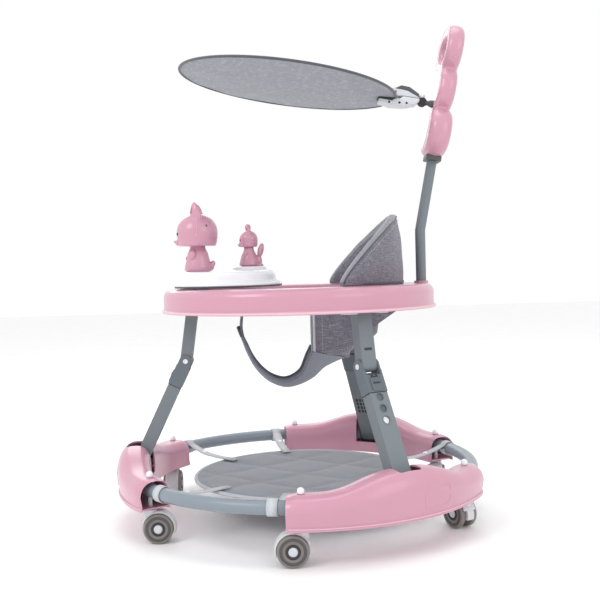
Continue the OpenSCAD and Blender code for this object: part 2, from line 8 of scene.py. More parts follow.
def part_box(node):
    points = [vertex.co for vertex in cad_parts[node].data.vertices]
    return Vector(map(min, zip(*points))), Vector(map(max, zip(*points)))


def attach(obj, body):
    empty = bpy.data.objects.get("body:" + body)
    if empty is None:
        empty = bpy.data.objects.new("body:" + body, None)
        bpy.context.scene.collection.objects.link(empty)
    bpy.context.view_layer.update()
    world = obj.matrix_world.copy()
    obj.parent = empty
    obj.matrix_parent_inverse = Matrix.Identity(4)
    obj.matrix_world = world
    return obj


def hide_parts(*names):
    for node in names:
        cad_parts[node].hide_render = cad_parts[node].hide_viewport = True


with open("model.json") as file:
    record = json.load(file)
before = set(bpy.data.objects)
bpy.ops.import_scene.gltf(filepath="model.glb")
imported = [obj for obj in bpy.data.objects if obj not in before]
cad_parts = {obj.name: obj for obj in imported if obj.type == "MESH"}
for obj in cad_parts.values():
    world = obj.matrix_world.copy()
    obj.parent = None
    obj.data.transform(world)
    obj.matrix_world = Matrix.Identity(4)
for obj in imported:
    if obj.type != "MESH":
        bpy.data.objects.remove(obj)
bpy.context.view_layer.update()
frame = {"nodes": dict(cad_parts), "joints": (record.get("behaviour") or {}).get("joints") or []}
NODES = frame["nodes"]
pi, sin, cos, rad = math.pi, math.sin, math.cos, math.radians
LEGS = {"front": -90, "left": 30, "right": 150}

# ---------------------------------------------------------------- camera and light
def look(position, yaw, pitch, roll, lens):
    """A camera that looks along -X, turned by yaw, pitch (down) and roll, in degrees."""
    cy, sy, cp, sp = cos(rad(yaw)), sin(rad(yaw)), cos(rad(pitch)), sin(rad(pitch))
    ahead, right, up = Vector((-cy, sy, 0)), Vector((sy, cy, 0)), Vector((0, 0, 1))
    ahead, up = ahead * cp - up * sp, up * cp + ahead * sp
    cr, sr = cos(rad(roll)), sin(rad(roll))
    right, up = right * cr + up * sr, up * cr - right * sr
    data = bpy.data.cameras.new("camera")
    data.lens, data.sensor_width, data.clip_end = lens, 36, 60
    cam = bpy.data.objects.new("camera", data)
    bpy.context.scene.collection.objects.link(cam)
    m = Matrix((right, up, -ahead)).transposed().to_4x4()
    m.translation = Vector(position)
    cam.matrix_world = m
    bpy.context.scene.camera = cam


look((1.784, -0.033, 0.483), 1.13, 1.96, -1.53, 54)


def area_light(name, place, target, size, power, tint=(1, 1, 1)):
    data = bpy.data.lights.new(name, "AREA")
    data.shape, data.size, data.energy, data.color = "DISK", size, power, tint
    o = bpy.data.objects.new(name, data)
    bpy.context.scene.collection.objects.link(o)
    o.location = place
    o.rotation_mode = "QUATERNION"
    o.rotation_quaternion = (Vector(target) - Vector(place)).to_track_quat("-Z", "Y")


area_light("key", (2.0, -2.2, 2.6), (0, 0, 0.45), 1.6, 30)
area_light("fill", (2.4, 2.2, 1.5), (0, 0, 0.4), 2.0, 12)
area_light("top", (-0.3, 0.1, 3.2), (0, 0, 0.4), 2.2, 20)
area_light("back", (-2.6, -0.6, 1.8), (0, 0, 0.5), 1.8, 12)
world = bpy.data.worlds.new("studio")
bpy.context.scene.world = world
world.use_nodes = True
world.node_tree.nodes["Background"].inputs[0].default_value = (1, 1, 1, 1)
world.node_tree.nodes["Background"].inputs[1].default_value = 1.0
bpy.context.scene.view_settings.view_transform = "Standard"

# ---------------------------------------------------------------- materials
def srgb(r, g, b):
    return tuple((c / 255 / 12.92) if c <= 10 else ((c / 255 + 0.055) / 1.055) ** 2.4 for c in (r, g, b)) + (1,)


class Mat:
    """A procedural material: a Principled shader with colour, roughness and bump built from object-space patterns."""

    def __init__(self, name, colour, rough=0.5, **sockets):
        self.m = bpy.data.materials.new(name)
        self.m.use_nodes = True
        self.t = self.m.node_tree
        self.bsdf = self.t.nodes["Principled BSDF"]
        self.base = colour
        self.col = None
        self.bump_in = None
        self.bsdf.inputs["Base Color"].default_value = colour
        self.bsdf.inputs["Roughness"].default_value = rough
        for k, v in sockets.items():
            self.bsdf.inputs[k.replace("_", " ")].default_value = v
        self.co = self.t.nodes.new("ShaderNodeTexCoord").outputs["Object"]

    def node(self, kind, **inputs):
        n = self.t.nodes.new("ShaderNode" + kind)
        for k, v in inputs.items():
            k = int(k[1:]) if k[0] == "_" and k[1:].isdigit() else k.replace("_", " ")
            if hasattr(v, "links"):
                self.t.links.new(v, n.inputs[k])
            else:
                n.inputs[k].default_value = v
        return n

    def scaled(self, scale, turn=(0, 0, 0), source=None):
        n = self.t.nodes.new("ShaderNodeMapping")
        self.t.links.new(source or self.co, n.inputs["Vector"])
        n.inputs["Scale"].default_value = scale
        n.inputs["Rotation"].default_value = turn
        return n.outputs["Vector"]

    def noise(self, scale, detail=3, rough=0.5, vector=None):
        return self.node("TexNoise", Vector=vector or self.co, Scale=scale, Detail=detail,
            Roughness=rough).outputs["Fac"]

    def math(self, op, a, b=None):
        n = self.t.nodes.new("ShaderNodeMath")
        n.operation = op
        for i, v in enumerate((a, b)):
            if v is None:
                continue
            if hasattr(v, "links"):
                self.t.links.new(v, n.inputs[i])
            else:
                n.inputs[i].default_value = v
        return n.outputs[0]

    def ramp(self, fac, lo, hi, a=0.0, b=1.0):
        n = self.t.nodes.new("ShaderNodeMapRange")
        self.t.links.new(fac, n.inputs["Value"])
        for k, v in (("From Min", lo), ("From Max", hi), ("To Min", a), ("To Max", b)):
            n.inputs[k].default_value = v
        return n.outputs["Result"]

    def tint(self, fac, colour):
        """Mixes the colour so far with another one, by fac."""
        n = self.t.nodes.new("ShaderNodeMix")
        n.data_type = "RGBA"
        self.t.links.new(fac, n.inputs[0])
        if self.col is None:
            n.inputs[6].default_value = self.base
        else:
            self.t.links.new(self.col, n.inputs[6])
        n.inputs[7].default_value = colour
        self.col = n.outputs[2]
        self.t.links.new(self.col, self.bsdf.inputs["Base Color"])
        return self

    def roughness(self, fac, lo, hi):
        self.t.links.new(self.ramp(fac, 0, 1, lo, hi), self.bsdf.inputs["Roughness"])
        return self

    def bump(self, height, strength=0.3, distance=0.001):
        n = self.t.nodes.new("ShaderNodeBump")
        n.inputs["Strength"].default_value = strength
        n.inputs["Distance"].default_value = distance
        self.t.links.new(height, n.inputs["Height"])
        if self.bump_in is not None:
            self.t.links.new(self.bump_in, n.inputs["Normal"])
        self.bump_in = n.outputs["Normal"]
        self.t.links.new(self.bump_in, self.bsdf.inputs["Normal"])
        return self


def shade(c, k):
    return tuple(x * k for x in c[:3]) + (1,)


def moulded(name, colour, rough, grain=900, bump=0.05, coat=0.0):
    """Moulded plastic: a faint texture, slightly uneven gloss and colour, and a painted highlight that pales the convex
    edges.
    """
    m = Mat(name, colour, rough, Coat_Weight=coat, Coat_Roughness=0.12)
    broad = m.noise(9, 4)
    m.tint(m.ramp(broad, 0.35, 0.75, 0, 0.35), shade(colour, 0.9))
    # Painted highlight: convex edges, found by pointiness, are mixed towards a paler colour
    edge = m.t.nodes.new("ShaderNodeNewGeometry").outputs["Pointiness"]
    m.tint(m.ramp(edge, 0.52, 0.6, 0, 0.4), tuple(min(1, c * 1.15 + 0.02) for c in colour[:3]) + (1,))
    m.roughness(m.noise(40, 5), rough * 0.8, min(1, rough * 1.25))
    m.bump(m.noise(grain, 2), bump, 0.0006)
    return m


def cloth(name, colour, light, dark, thread=0.0008, streak=True, bump=0.5, sheen=0.25):
    """Heather cloth: two crossed sets of threads, with slubs of lighter and darker yarn along each."""
    m = Mat(name, colour, 0.92, Sheen_Weight=sheen, Sheen_Roughness=0.5)
    k = 1 / thread
    along = m.noise(1.0, 3, 0.7, m.scaled((60, 60, k * 0.55)))
    across = m.noise(1.0, 3, 0.7, m.scaled((k * 0.55, k * 0.55, 60)))
    m.tint(m.ramp(along, 0.5, 0.68, 0, 0.85 if streak else 0.3), light)
    m.tint(m.ramp(across, 0.5, 0.68, 0, 0.75 if streak else 0.3), dark)
    fleck = m.noise(1.0, 2, 0.6, m.scaled((330, 330, 330)))
    m.tint(m.ramp(fleck, 0.58, 0.72, 0, 0.45), light)
    m.tint(m.ramp(m.noise(6, 3), 0.4, 0.7, 0, 0.18), shade(colour, 0.7))
    w1 = m.node("TexWave", Vector=m.scaled((1, 1, 1)), Scale=k / 6.5, Distortion=1.0).outputs["Fac"]
    w2 = m.node("TexWave", Vector=m.scaled((1, 1, 1), (0, pi / 2, 0)), Scale=k / 6.5, Distortion=1.0).outputs["Fac"]
    m.bump(m.math("ADD", w1, w2), bump * 0.5, 0.0004)
    m.bump(m.math("ADD", along, across), bump, 0.0005)
    return m


PINK = srgb(200, 146, 165)
pink = moulded("pink_gloss_plastic", PINK, 0.3, coat=0.35)
pink_lip = moulded("pink_lip_plastic", srgb(222, 184, 196), 0.4)
white = moulded("white_gloss_plastic", srgb(232, 234, 238), 0.25, coat=0.3)
leg_grey = moulded("textured_grey_plastic", srgb(112, 121, 126), 0.55, grain=1400, bump=0.25)
joint_grey = moulded("joint_grey_plastic", srgb(98, 107, 114), 0.6, grain=1100, bump=0.4)
tube_grey = moulded("tube_grey_paint", srgb(132, 142, 152), 0.35, grain=700, bump=0.05, coat=0.2)
pale_grey = moulded("pale_grey_plastic", srgb(205, 208, 212), 0.42)
# Black plastic for real black parts, also used as painted shade in slots, grooves, openings and the knee gap
black = moulded("black_plastic_and_painted_shade", srgb(42, 43, 46), 0.5, bump=0.2)
# Dark grey plastic for real parts, also used as painted shade in the tray seam and the toy's screw holes
dark_grey = moulded("dark_grey_plastic_and_painted_shade", srgb(78, 80, 84), 0.5, bump=0.2)
red = moulded("red_plastic", srgb(178, 52, 66), 0.35, coat=0.2)
rubber = moulded("smoky_tread", srgb(128, 120, 114), 0.45, grain=500, bump=0.1)
steel = Mat("brushed_steel", srgb(196, 198, 202), 0.32, Metallic=1.0)
steel.roughness(steel.noise(1.0, 3, 0.6, steel.scaled((900, 900, 40))), 0.2, 0.45)
steel.bump(steel.noise(1.0, 3, 0.6, steel.scaled((1200, 1200, 60))), 0.1, 0.0002)
seat_cloth = cloth("seat_heather_cloth", srgb(112, 110, 121), srgb(160, 158, 170), srgb(62, 60, 72))
seat_lining = cloth("seat_lining_cloth", srgb(146, 146, 153), srgb(176, 176, 184), srgb(112, 112, 120), streak=False)
shade_cloth = cloth("shade_heather_cloth", srgb(138, 140, 150), srgb(168, 170, 180), srgb(98, 100, 110))
mat_cloth = cloth("mat_cloth", srgb(132, 138, 146), srgb(150, 156, 164), srgb(110, 116, 124), streak=False, bump=0.3)
webbing = cloth("pale_webbing", srgb(196, 200, 205), srgb(214, 218, 222), srgb(170, 175, 182), thread=0.0012,
    streak=False)
binding = cloth("dark_binding", srgb(84, 86, 94), srgb(104, 106, 114), srgb(62, 64, 72), streak=False)
strap_cloth = cloth("strap_cloth", srgb(140, 145, 156), srgb(164, 168, 178), srgb(112, 116, 128), streak=False)
binding_mid = cloth("mid_binding", srgb(118, 122, 132), srgb(138, 142, 152), srgb(92, 96, 106), streak=False)
shade_thread = cloth("shade_thread", srgb(92, 94, 102), srgb(112, 114, 122), srgb(72, 74, 82), streak=False)
piping = cloth("pale_piping", srgb(186, 190, 196), srgb(206, 210, 214), srgb(160, 165, 172), streak=False)

FINISH = {
    "base_tube": tube_grey, "bumper_base": pink, "bumper": pink, "leg_bracket": dark_grey, "caster_stems": pale_grey,
    "foot_mat": mat_cloth, "mat_straps": webbing, "caster_housing": pale_grey, "caster_wheels": rubber,
    "leg_pin": steel, "lower_leg": leg_grey, "knee_housing": joint_grey, "upper_leg": leg_grey, "fold_latch": dark_grey,
    "height_button": white, "top_pin": steel, "top_frame": pink, "play_tray": white, "toy": pink,
    "seat_sling": seat_cloth,
    "backrest": seat_cloth, "crotch_strap": seat_lining, "push_rod": leg_grey, "handle_cap": white, "handle": pink,
    "shade_knuckle": dark_grey, "shade_clip": dark_grey, "sunshade": shade_cloth,
}
for name, o in NODES.items():
    key = max((k for k in FINISH if name.startswith(k)), key=len)
    o.data.materials.clear()
    o.data.materials.append(FINISH[key].m)

# ---------------------------------------------------------------- mesh helpers
def made(name, verts, faces, material, body, smooth=True):
    me = bpy.data.meshes.new(name)
    me.from_pydata([tuple(v) for v in verts], [], [tuple(f) for f in faces])
    me.validate()
    bm = bmesh.new()
    bm.from_mesh(me)
    bmesh.ops.recalc_face_normals(bm, faces=bm.faces)
    bm.to_mesh(me)
    bm.free()
    me.materials.append(material.m)
    me.polygons.foreach_set("use_smooth", [smooth] * len(me.polygons))
    o = bpy.data.objects.new(name, me)
    bpy.context.scene.collection.objects.link(o)
    if body:
        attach(o, body)
    return o


def applied(o):
    """Applies an object's modifiers to its mesh."""
    dg = bpy.context.evaluated_depsgraph_get()
    me = bpy.data.meshes.new_from_object(o.evaluated_get(dg))
    o.modifiers.clear()
    o.data = me
    return o


def bevel(o, width, segments=3, angle=30):
    b = o.modifiers.new("bevel", "BEVEL")
    b.width, b.segments, b.limit_method, b.angle_limit = width, segments, "ANGLE", rad(angle)
    b.harden_normals = False
    return o


def grid_faces(rows, cols, closed_rows=False, closed_cols=False):
    fs = []
    for i in range(rows if closed_rows else rows - 1):
        for j in range(cols if closed_cols else cols - 1):
            a, b = i * cols + j, i * cols + (j + 1) % cols
            k = (i + 1) % rows
            fs.append((a, b, k * cols + (j + 1) % cols, k * cols + j))
    return fs


def axes_of(axis):
    w = Vector(axis).normalized()
    u = w.orthogonal().normalized()
    if abs(w.z) < 0.9:
        u = Vector((0, 0, 1)).cross(w).normalized()
    return u, w.cross(u), w


def lathe(name, profile, centre, axis, material, body, segs=48, smooth=True):
    """A solid of revolution: profile is (radius, distance along the axis) pairs."""
    u, v, w = axes_of(axis)
    c = Vector(centre)
    verts, faces = [], []
    rows = len(profile)
    for r, h in profile:
        for j in range(segs):
            a = 2 * pi * j / segs
            verts.append(c + u * (max(r, 1e-5) * cos(a)) + v * (max(r, 1e-5) * sin(a)) + w * h)
    faces = grid_faces(rows, segs, closed_cols=True)
    faces.append(tuple(range(segs)))
    faces.append(tuple(range((rows - 1) * segs, rows * segs)))
    return made(name, verts, faces, material, body, smooth)


def tube(name, points, radius, material, body, sides=10, closed=False, flat=1.0):
    """A swept tube along points; flat scales its height against its width."""
    pts = [Vector(p) for p in points]
    n = len(pts)
    verts = []
    up = None
    for i, p in enumerate(pts):
        a = pts[(i - 1) % n] if closed or i else pts[i]
        b = pts[(i + 1) % n] if closed or i < n - 1 else pts[i]
        t = (b - a).normalized()
        if up is None:
            up = axes_of(t)[1]
        side = t.cross(up).normalized()
        up = side.cross(t).normalized()
        r = radius[i] if hasattr(radius, "__len__") else radius
        for j in range(sides):
            q = 2 * pi * j / sides
            verts.append(p + side * (r * cos(q)) + up * (r * flat * sin(q)))
    faces = grid_faces(n, sides, closed_rows=closed, closed_cols=True)
    if not closed:
        faces += [tuple(range(sides)), tuple(range((n - 1) * sides, n * sides))]
    return made(name, verts, faces, material, body)


def box_piece(name, lo, hi, frame_m, material, body, width=0.001, segs=2):
    """A bevelled block from lo to hi in the axes of frame_m."""
    vs = [frame_m @ Vector((x, y, z)) for x in (lo[0], hi[0]) for y in (lo[1], hi[1]) for z in (lo[2], hi[2])]
    fs = [(0, 1, 3, 2), (4, 6, 7, 5), (0, 4, 5, 1), (2, 3, 7, 6), (0, 2, 6, 4), (1, 5, 7, 3)]
    o = made(name, vs, fs, material, None)
    applied(bevel(o, width, segs))
    o.data.polygons.foreach_set("use_smooth", [True] * len(o.data.polygons))
    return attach(o, body) and o


def rounded_loop(w, h, r, n=6):
    """Points of a rounded rectangle, w by h, centred."""
    r = min(r, w / 2, h / 2)
    out = []
    for cx, cy, a0 in ((1, 1, 0), (-1, 1, 90), (-1, -1, 180), (1, -1, 270)):
        for k in range(n + 1):
            a = rad(a0 + 90 * k / n)
            out.append((cx * (w / 2 - r) + r * cos(a), cy * (h / 2 - r) + r * sin(a)))
    return out


def pad_plate(name, w, h, r, t, frame_m, material, body, dome=0.3, recess=False):
    """A rounded plate in the XY plane of frame_m that stands t high, with softened edges."""
    rings = [(0, 0.0), (0, 0.7 * t), (0.25 * t, t), (0.9 * t + dome * t, t * (1 + 0.15 * dome))]
    if recess:
        rings = rings[:3] + [(1.8 * t, t), (2.2 * t, 0.4 * t)]
    verts, n = [], None
    for inset, z in rings:
        loop = rounded_loop(w - 2 * inset, h - 2 * inset, max(0.0004, r - inset))
        n = len(loop)
        verts += [frame_m @ Vector((x, y, z)) for x, y in loop]
    faces = grid_faces(len(rings), n, closed_cols=True)
    faces += [tuple(range(n)), tuple(range((len(rings) - 1) * n, len(rings) * n))]
    return made(name, verts, faces, material, body)


def merged(name, blobs, voxel, material, body, smooth_steps=6):
    """Joins closed meshes, given as (verts, faces), into one smooth skin."""
    verts, faces = [], []
    for vs, fs in blobs:
        k = len(verts)
        verts += vs
        faces += [tuple(i + k for i in f) for f in fs]
    o = made(name, verts, faces, material, None)
    r = o.modifiers.new("remesh", "REMESH")
    r.mode, r.voxel_size, r.use_smooth_shade = "VOXEL", voxel, True
    s = o.modifiers.new("smooth", "SMOOTH")
    s.factor, s.iterations = 0.6, smooth_steps
    applied(o)
    o.data.materials.clear()
    o.data.materials.append(material.m)
    o.data.polygons.foreach_set("use_smooth", [True] * len(o.data.polygons))
    if body:
        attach(o, body)
    return o


def ball(centre, radii, segs=24, turn=None):
    """A closed ellipsoid as (verts, faces)."""
    c = Vector(centre)
    rows = segs // 2
    verts = []
    for i in range(1, rows):
        th = pi * i / rows
        for j in range(segs):
            a = 2 * pi * j / segs
            p = Vector((radii[0] * sin(th) * cos(a), radii[1] * sin(th) * sin(a), radii[2] * cos(th)))
            verts.append(c + (turn @ p if turn else p))
    faces = grid_faces(rows - 1, segs, closed_cols=True)
    top, low = Vector((0, 0, radii[2])), Vector((0, 0, -radii[2]))
    verts += [c + (turn @ top if turn else top), c + (turn @ low if turn else low)]
    k = (rows - 1) * segs
    for j in range(segs):
        faces.append((k, (j + 1) % segs, j))
        faces.append((k + 1, (rows - 2) * segs + j, (rows - 2) * segs + (j + 1) % segs))
    return verts, faces


def facing(origin, x, z):
    """A 4x4 matrix at origin with +X along x and +Z along z."""
    z = Vector(z).normalized()
    x = Vector(x)
    x = (x - z * x.dot(z)).normalized()
    y = z.cross(x)
    m = Matrix((x, y, z)).transposed().to_4x4()
    m.translation = Vector(origin)
    return m

J = {j["name"]: j for j in frame["joints"]}


def node_mid(name):
    lo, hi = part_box(name)
    return (lo + hi) / 2


# ---------------------------------------------------------------- casters
for name in [n[len("wheel_spin_"):] for n in J if n.startswith("wheel_spin_")]:
    spin, turn = J["wheel_spin_" + name], J["swivel_turn_" + name]
    centre, axis = Vector(spin["pos_m"]), Vector(spin["axis"]).normalized()
    stem = Vector(turn["pos_m"])
    lo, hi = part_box("caster_wheels_" + name)
    r = (hi.z - lo.z) / 2
    reach = 0.0191
    inner = 0.0081
    for k, s in (("a", 1), ("b", -1)):
        w = reach - inner
        mid = centre + axis * (s * (inner + w / 2))
        # A wheel: crowned tread, a groove by the rim, a dished hub, a raised ring and a centre cap
        prof = [(r * 0.12, -w * 0.5), (r * 0.86, -w * 0.5), (r * 0.97, -w * 0.42), (r, -w * 0.18), (r, w * 0.18),
                (r * 0.975, w * 0.38), (r * 0.9, w * 0.47), (r * 0.86, w * 0.48), (r * 0.84, w * 0.40),
                (r * 0.1, w * 0.38)]
        t = lathe(f"tread_{name}_{k}", [(a, s * b) for a, b in prof], mid, axis, rubber, "wheels_" + name,
            64)
        hub = [(r * 0.835, w * 0.3), (r * 0.83, w * 0.43), (r * 0.76, w * 0.47), (r * 0.66, w * 0.40),
            (r * 0.5, w * 0.36),
               (r * 0.1, w * 0.36), (r * 0.1, w * 0.2), (r * 0.83, w * 0.2)]
        lathe(f"hub_{name}_{k}", [(a, s * b) for a, b in hub], mid, axis, dark_grey, "wheels_" + name,
            64)
        ring = [(r * 0.46, w * 0.3), (r * 0.46, w * 0.46), (r * 0.42, w * 0.5), (r * 0.34, w * 0.5),
            (r * 0.3, w * 0.45), (r * 0.3, w * 0.3)]
        lathe(f"ring_{name}_{k}", [(a, s * b) for a, b in ring], mid, axis, black, "wheels_" + name,
            48)
        cap = [(r * 0.29, w * 0.3), (r * 0.29, w * 0.43), (r * 0.24, w * 0.49), (r * 0.12, w * 0.51), (0, w * 0.515)]
        lathe(f"hubcap_{name}_{k}", [(a, s * b) for a, b in cap], mid, axis, pale_grey, "wheels_" + name,
            32)
    lathe(f"axle_{name}", [(0.0025, -reach * 0.9), (0.0025, reach * 0.9)], centre, axis, steel, "wheels_" + name,
        16)
    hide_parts("caster_wheels_" + name)
    # A rounded fender over each pair, open towards the floor
    out = (centre - stem)
    out.z = 0
    out.normalize()
    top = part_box("caster_housing_" + name)[1].z
    nw = 9
    fender_gap, fender_crown, fender_inner = 0.0022, 0.0022, 0.0008
    verts, half_w = [], 0.0135
    arc = [rad(a) for a in range(-18, 163, 9)]
    for a in arc:
        for j in range(nw):
            q = -1 + 2 * j / (nw - 1)
            rr = r + fender_gap + fender_crown * (1 - q ** 4)
            verts.append(centre + out * (rr * cos(a)) + Vector((0, 0, rr * sin(a))) + axis * (half_w * q))
    for a in arc:
        for j in range(nw):
            q = -1 + 2 * j / (nw - 1)
            rr = r + fender_inner
            verts.append(centre + out * (rr * cos(a)) + Vector((0, 0, rr * sin(a))) + axis * (half_w * q))
    n = len(arc) * nw
    faces = grid_faces(len(arc), nw)
    faces += [tuple(n + i for i in reversed(f)) for f in faces]
    edge = [i * nw for i in range(len(arc))] + [(len(arc) - 1) * nw + j for j in range(1, nw)]
    edge += [i * nw + nw - 1 for i in range(len(arc) - 2, -1, -1)] + [j for j in range(nw - 2, 0, -1)]
    faces += [(edge[i], edge[(i + 1) % len(edge)], n + edge[(i + 1) % len(edge)],
        n + edge[i]) for i in range(len(edge))]
    made(f"fender_{name}", verts, faces, pale_grey, "swivel_" + name)
    tower = [(0.0125, r * 0.9), (0.0125, top - centre.z - 0.004), (0.0112, top - centre.z - 0.0012),
        (0.0085, top - centre.z - 0.0003), (0.0042, top - centre.z - 0.0003)]
    lathe(f"tower_{name}", tower, (stem.x, stem.y, centre.z), (0, 0, 1), pale_grey, "swivel_" + name,
        32)
    # White ball on top of the stem, above the bumper
    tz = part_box("caster_stems")[1].z
    dome = [(0.0062, -0.0062), (0.0064, -0.003), (0.0058, 0.0008), (0.004, 0.003), (0.0018, 0.0041), (0, 0.0043)]
    lathe(f"stem_ball_{name}", dome, (stem.x, stem.y, tz - 0.001), (0, 0, 1), white, "base", 24)

# ---------------------------------------------------------------- foot mat and its straps
mlo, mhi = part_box("foot_mat")
mr, mtop, mlow = (mhi.x - mlo.x) / 2, mhi.z, mlo.z
pitch = 0.105


def quilt(x, y):
    """Height of the quilting: 0 at a seam and 1 in the middle of a diamond."""
    near = 1.0
    for a in (38, -38):
        d = (x * cos(rad(a)) + y * sin(rad(a))) / pitch
        near = min(near, abs(d - round(d)) * 2)
    return 1 - math.exp(-(near / 0.26) ** 1.2)


verts, rings, segs = [], 64, 176
for i in range(rings + 1):
    rr = (mr - 0.004) * (i / rings) ** 0.9
    for j in range(segs):
        a = 2 * pi * j / segs
        x, y = rr * cos(a), rr * sin(a)
        edge = min(1, (mr - rr) / 0.014)
        wrinkle = 0.0009 * noise.noise(Vector((x * 18, y * 18, 2)))
        sag = -0.004 * (1 - (rr / mr) ** 2)
        verts.append((x, y, mtop - 0.0022 + sag + 0.0034 * quilt(x, y) * edge + wrinkle))
for i in range(rings, -1, -1):
    rr = (mr - 0.004) * (i / rings) ** 0.9
    for j in range(segs):
        a = 2 * pi * j / segs
        verts.append((rr * cos(a), rr * sin(a), mlow + 0.0006 - 0.003 * (1 - (rr / mr) ** 2)))
faces = grid_faces(2 * rings + 2, segs, closed_cols=True)
mat_piece = made("quilted_mat", verts, faces, mat_cloth, "base")
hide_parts("foot_mat")
ring = [((mr - 0.002) * cos(2 * pi * k / 180), (mr - 0.002) * sin(2 * pi * k / 180),
    (mtop + mlow) / 2) for k in range(180)]
tube("mat_piping", ring, 0.0036, piping, "base", sides=12, closed=True)
# Stitching along the seams
stitch_lines = []
for a in (38, -38):
    u, v = Vector((cos(rad(a)), sin(rad(a)), 0)), Vector((-sin(rad(a)), cos(rad(a)), 0))
    for k in range(-2, 3):
        off = k * pitch
        half = math.sqrt(max(0, (mr - 0.006) ** 2 - off ** 2))
        if half > 0.02:
            stitch_lines.append((u * off - v * half, v, 2 * half))
verts, faces = [], []
for p0, v, length in stitch_lines:
    side = Vector((-v.y, v.x, 0)) * 0.0005
    n = int(length / 0.0085)
    for k in range(n):
        a, b = p0 + v * (k * length / n + 0.0012), p0 + v * ((k + 0.72) * length / n)
        za = mtop - 0.0022 - 0.004 * (1 - (a.length / mr) ** 2) + 0.0007
        i = len(verts)
        for p, s in ((a, -1), (a, 1), (b, 1), (b, -1)):
            verts.append(Vector((p.x, p.y, za)) + side * s)
        mid = (a + b) / 2
        verts.append(Vector((mid.x, mid.y, za + 0.0006)))
        faces += [(i, i + 1, i + 4), (i + 1, i + 2, i + 4), (i + 2, i + 3, i + 4), (i + 3, i, i + 4),
            (i + 3, i + 2, i + 1, i)]
made("mat_stitching", verts, faces, piping, "base", smooth=False)

tube_z = node_mid("base_tube_rear").z
tr = (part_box("base_tube_rear")[1].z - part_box("base_tube_rear")[0].z) / 2
ring_r = 0.33
strap_no = 0
for leg, a0 in LEGS.items():
    for s in (-1, 1):
        strap_no += 1
        a = rad(a0 + s * 40)
        out, side, up = Vector((cos(a), sin(a), 0)), Vector((-sin(a), cos(a), 0)), Vector((0, 0, 1))
        # Webbing: once round the tube, then down to the mat with a little sag
        path = []
        for k in range(25):
            q = rad(150 - 330 * k / 24)
            path.append(out * (ring_r + (tr + 0.0016) * cos(q)) + up * (tube_z + (tr + 0.0016) * sin(q)))
        start = path[0]
        end = out * (mr - 0.030) + up * (mtop + 0.0022)
        knee = out * (mr + 0.004) + up * (mtop + 0.0018)
        run = []
        for k in range(1, 13):
            t = k / 12
            p = start.lerp(knee, t)
            p.z -= 0.006 * sin(pi * t) - 0.001 * t
            run.append(p)
        path = path[::-1] + run + [end]
        half, thick = 0.0092, 0.0007
        verts = []
        for i, p in enumerate(path):
            q = (path[min(i + 1, len(path) - 1)] - path[max(i - 1, 0)]).normalized()
            nrm = q.cross(side).normalized()
            for x, y in ((-half, -thick), (half, -thick), (half, thick), (-half, thick)):
                wave = 0.0006 * noise.noise(p * 60) if abs(x) > 0 else 0
                verts.append(p + side * x + nrm * (y + wave))
        faces = grid_faces(len(path), 4, closed_cols=True) + [(0, 1, 2, 3),
            tuple(4 * (len(path) - 1) + k for k in range(4))]
        o = made(f"mat_strap_{strap_no}", verts, faces, webbing, "base")
        if strap_no == 1:
            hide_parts("mat_straps")
        # A snap on the strap below the tube, and a bar tack at the mat's edge
        at = run[4]
        nrm = (run[5] - run[3]).normalized().cross(side).normalized()
        nrm = nrm if nrm.z > 0 else -nrm
        snap = [(0.0052, -0.0004), (0.0052, 0.0016), (0.0044, 0.0024), (0.003, 0.0021), (0.0022, 0.0014), (0, 0.0013)]
        lathe(f"snap_{strap_no}", snap, at + nrm * 0.0006, nrm, white, "base", 24)
        for k in (0, 1):
            p = knee.lerp(end, 0.35 + 0.4 * k) + up * 0.0008
            tube(f"bar_tack_{strap_no}_{k}", [p - side * 0.0075, p, p + side * 0.0075], 0.0007, piping, "base",
                6)

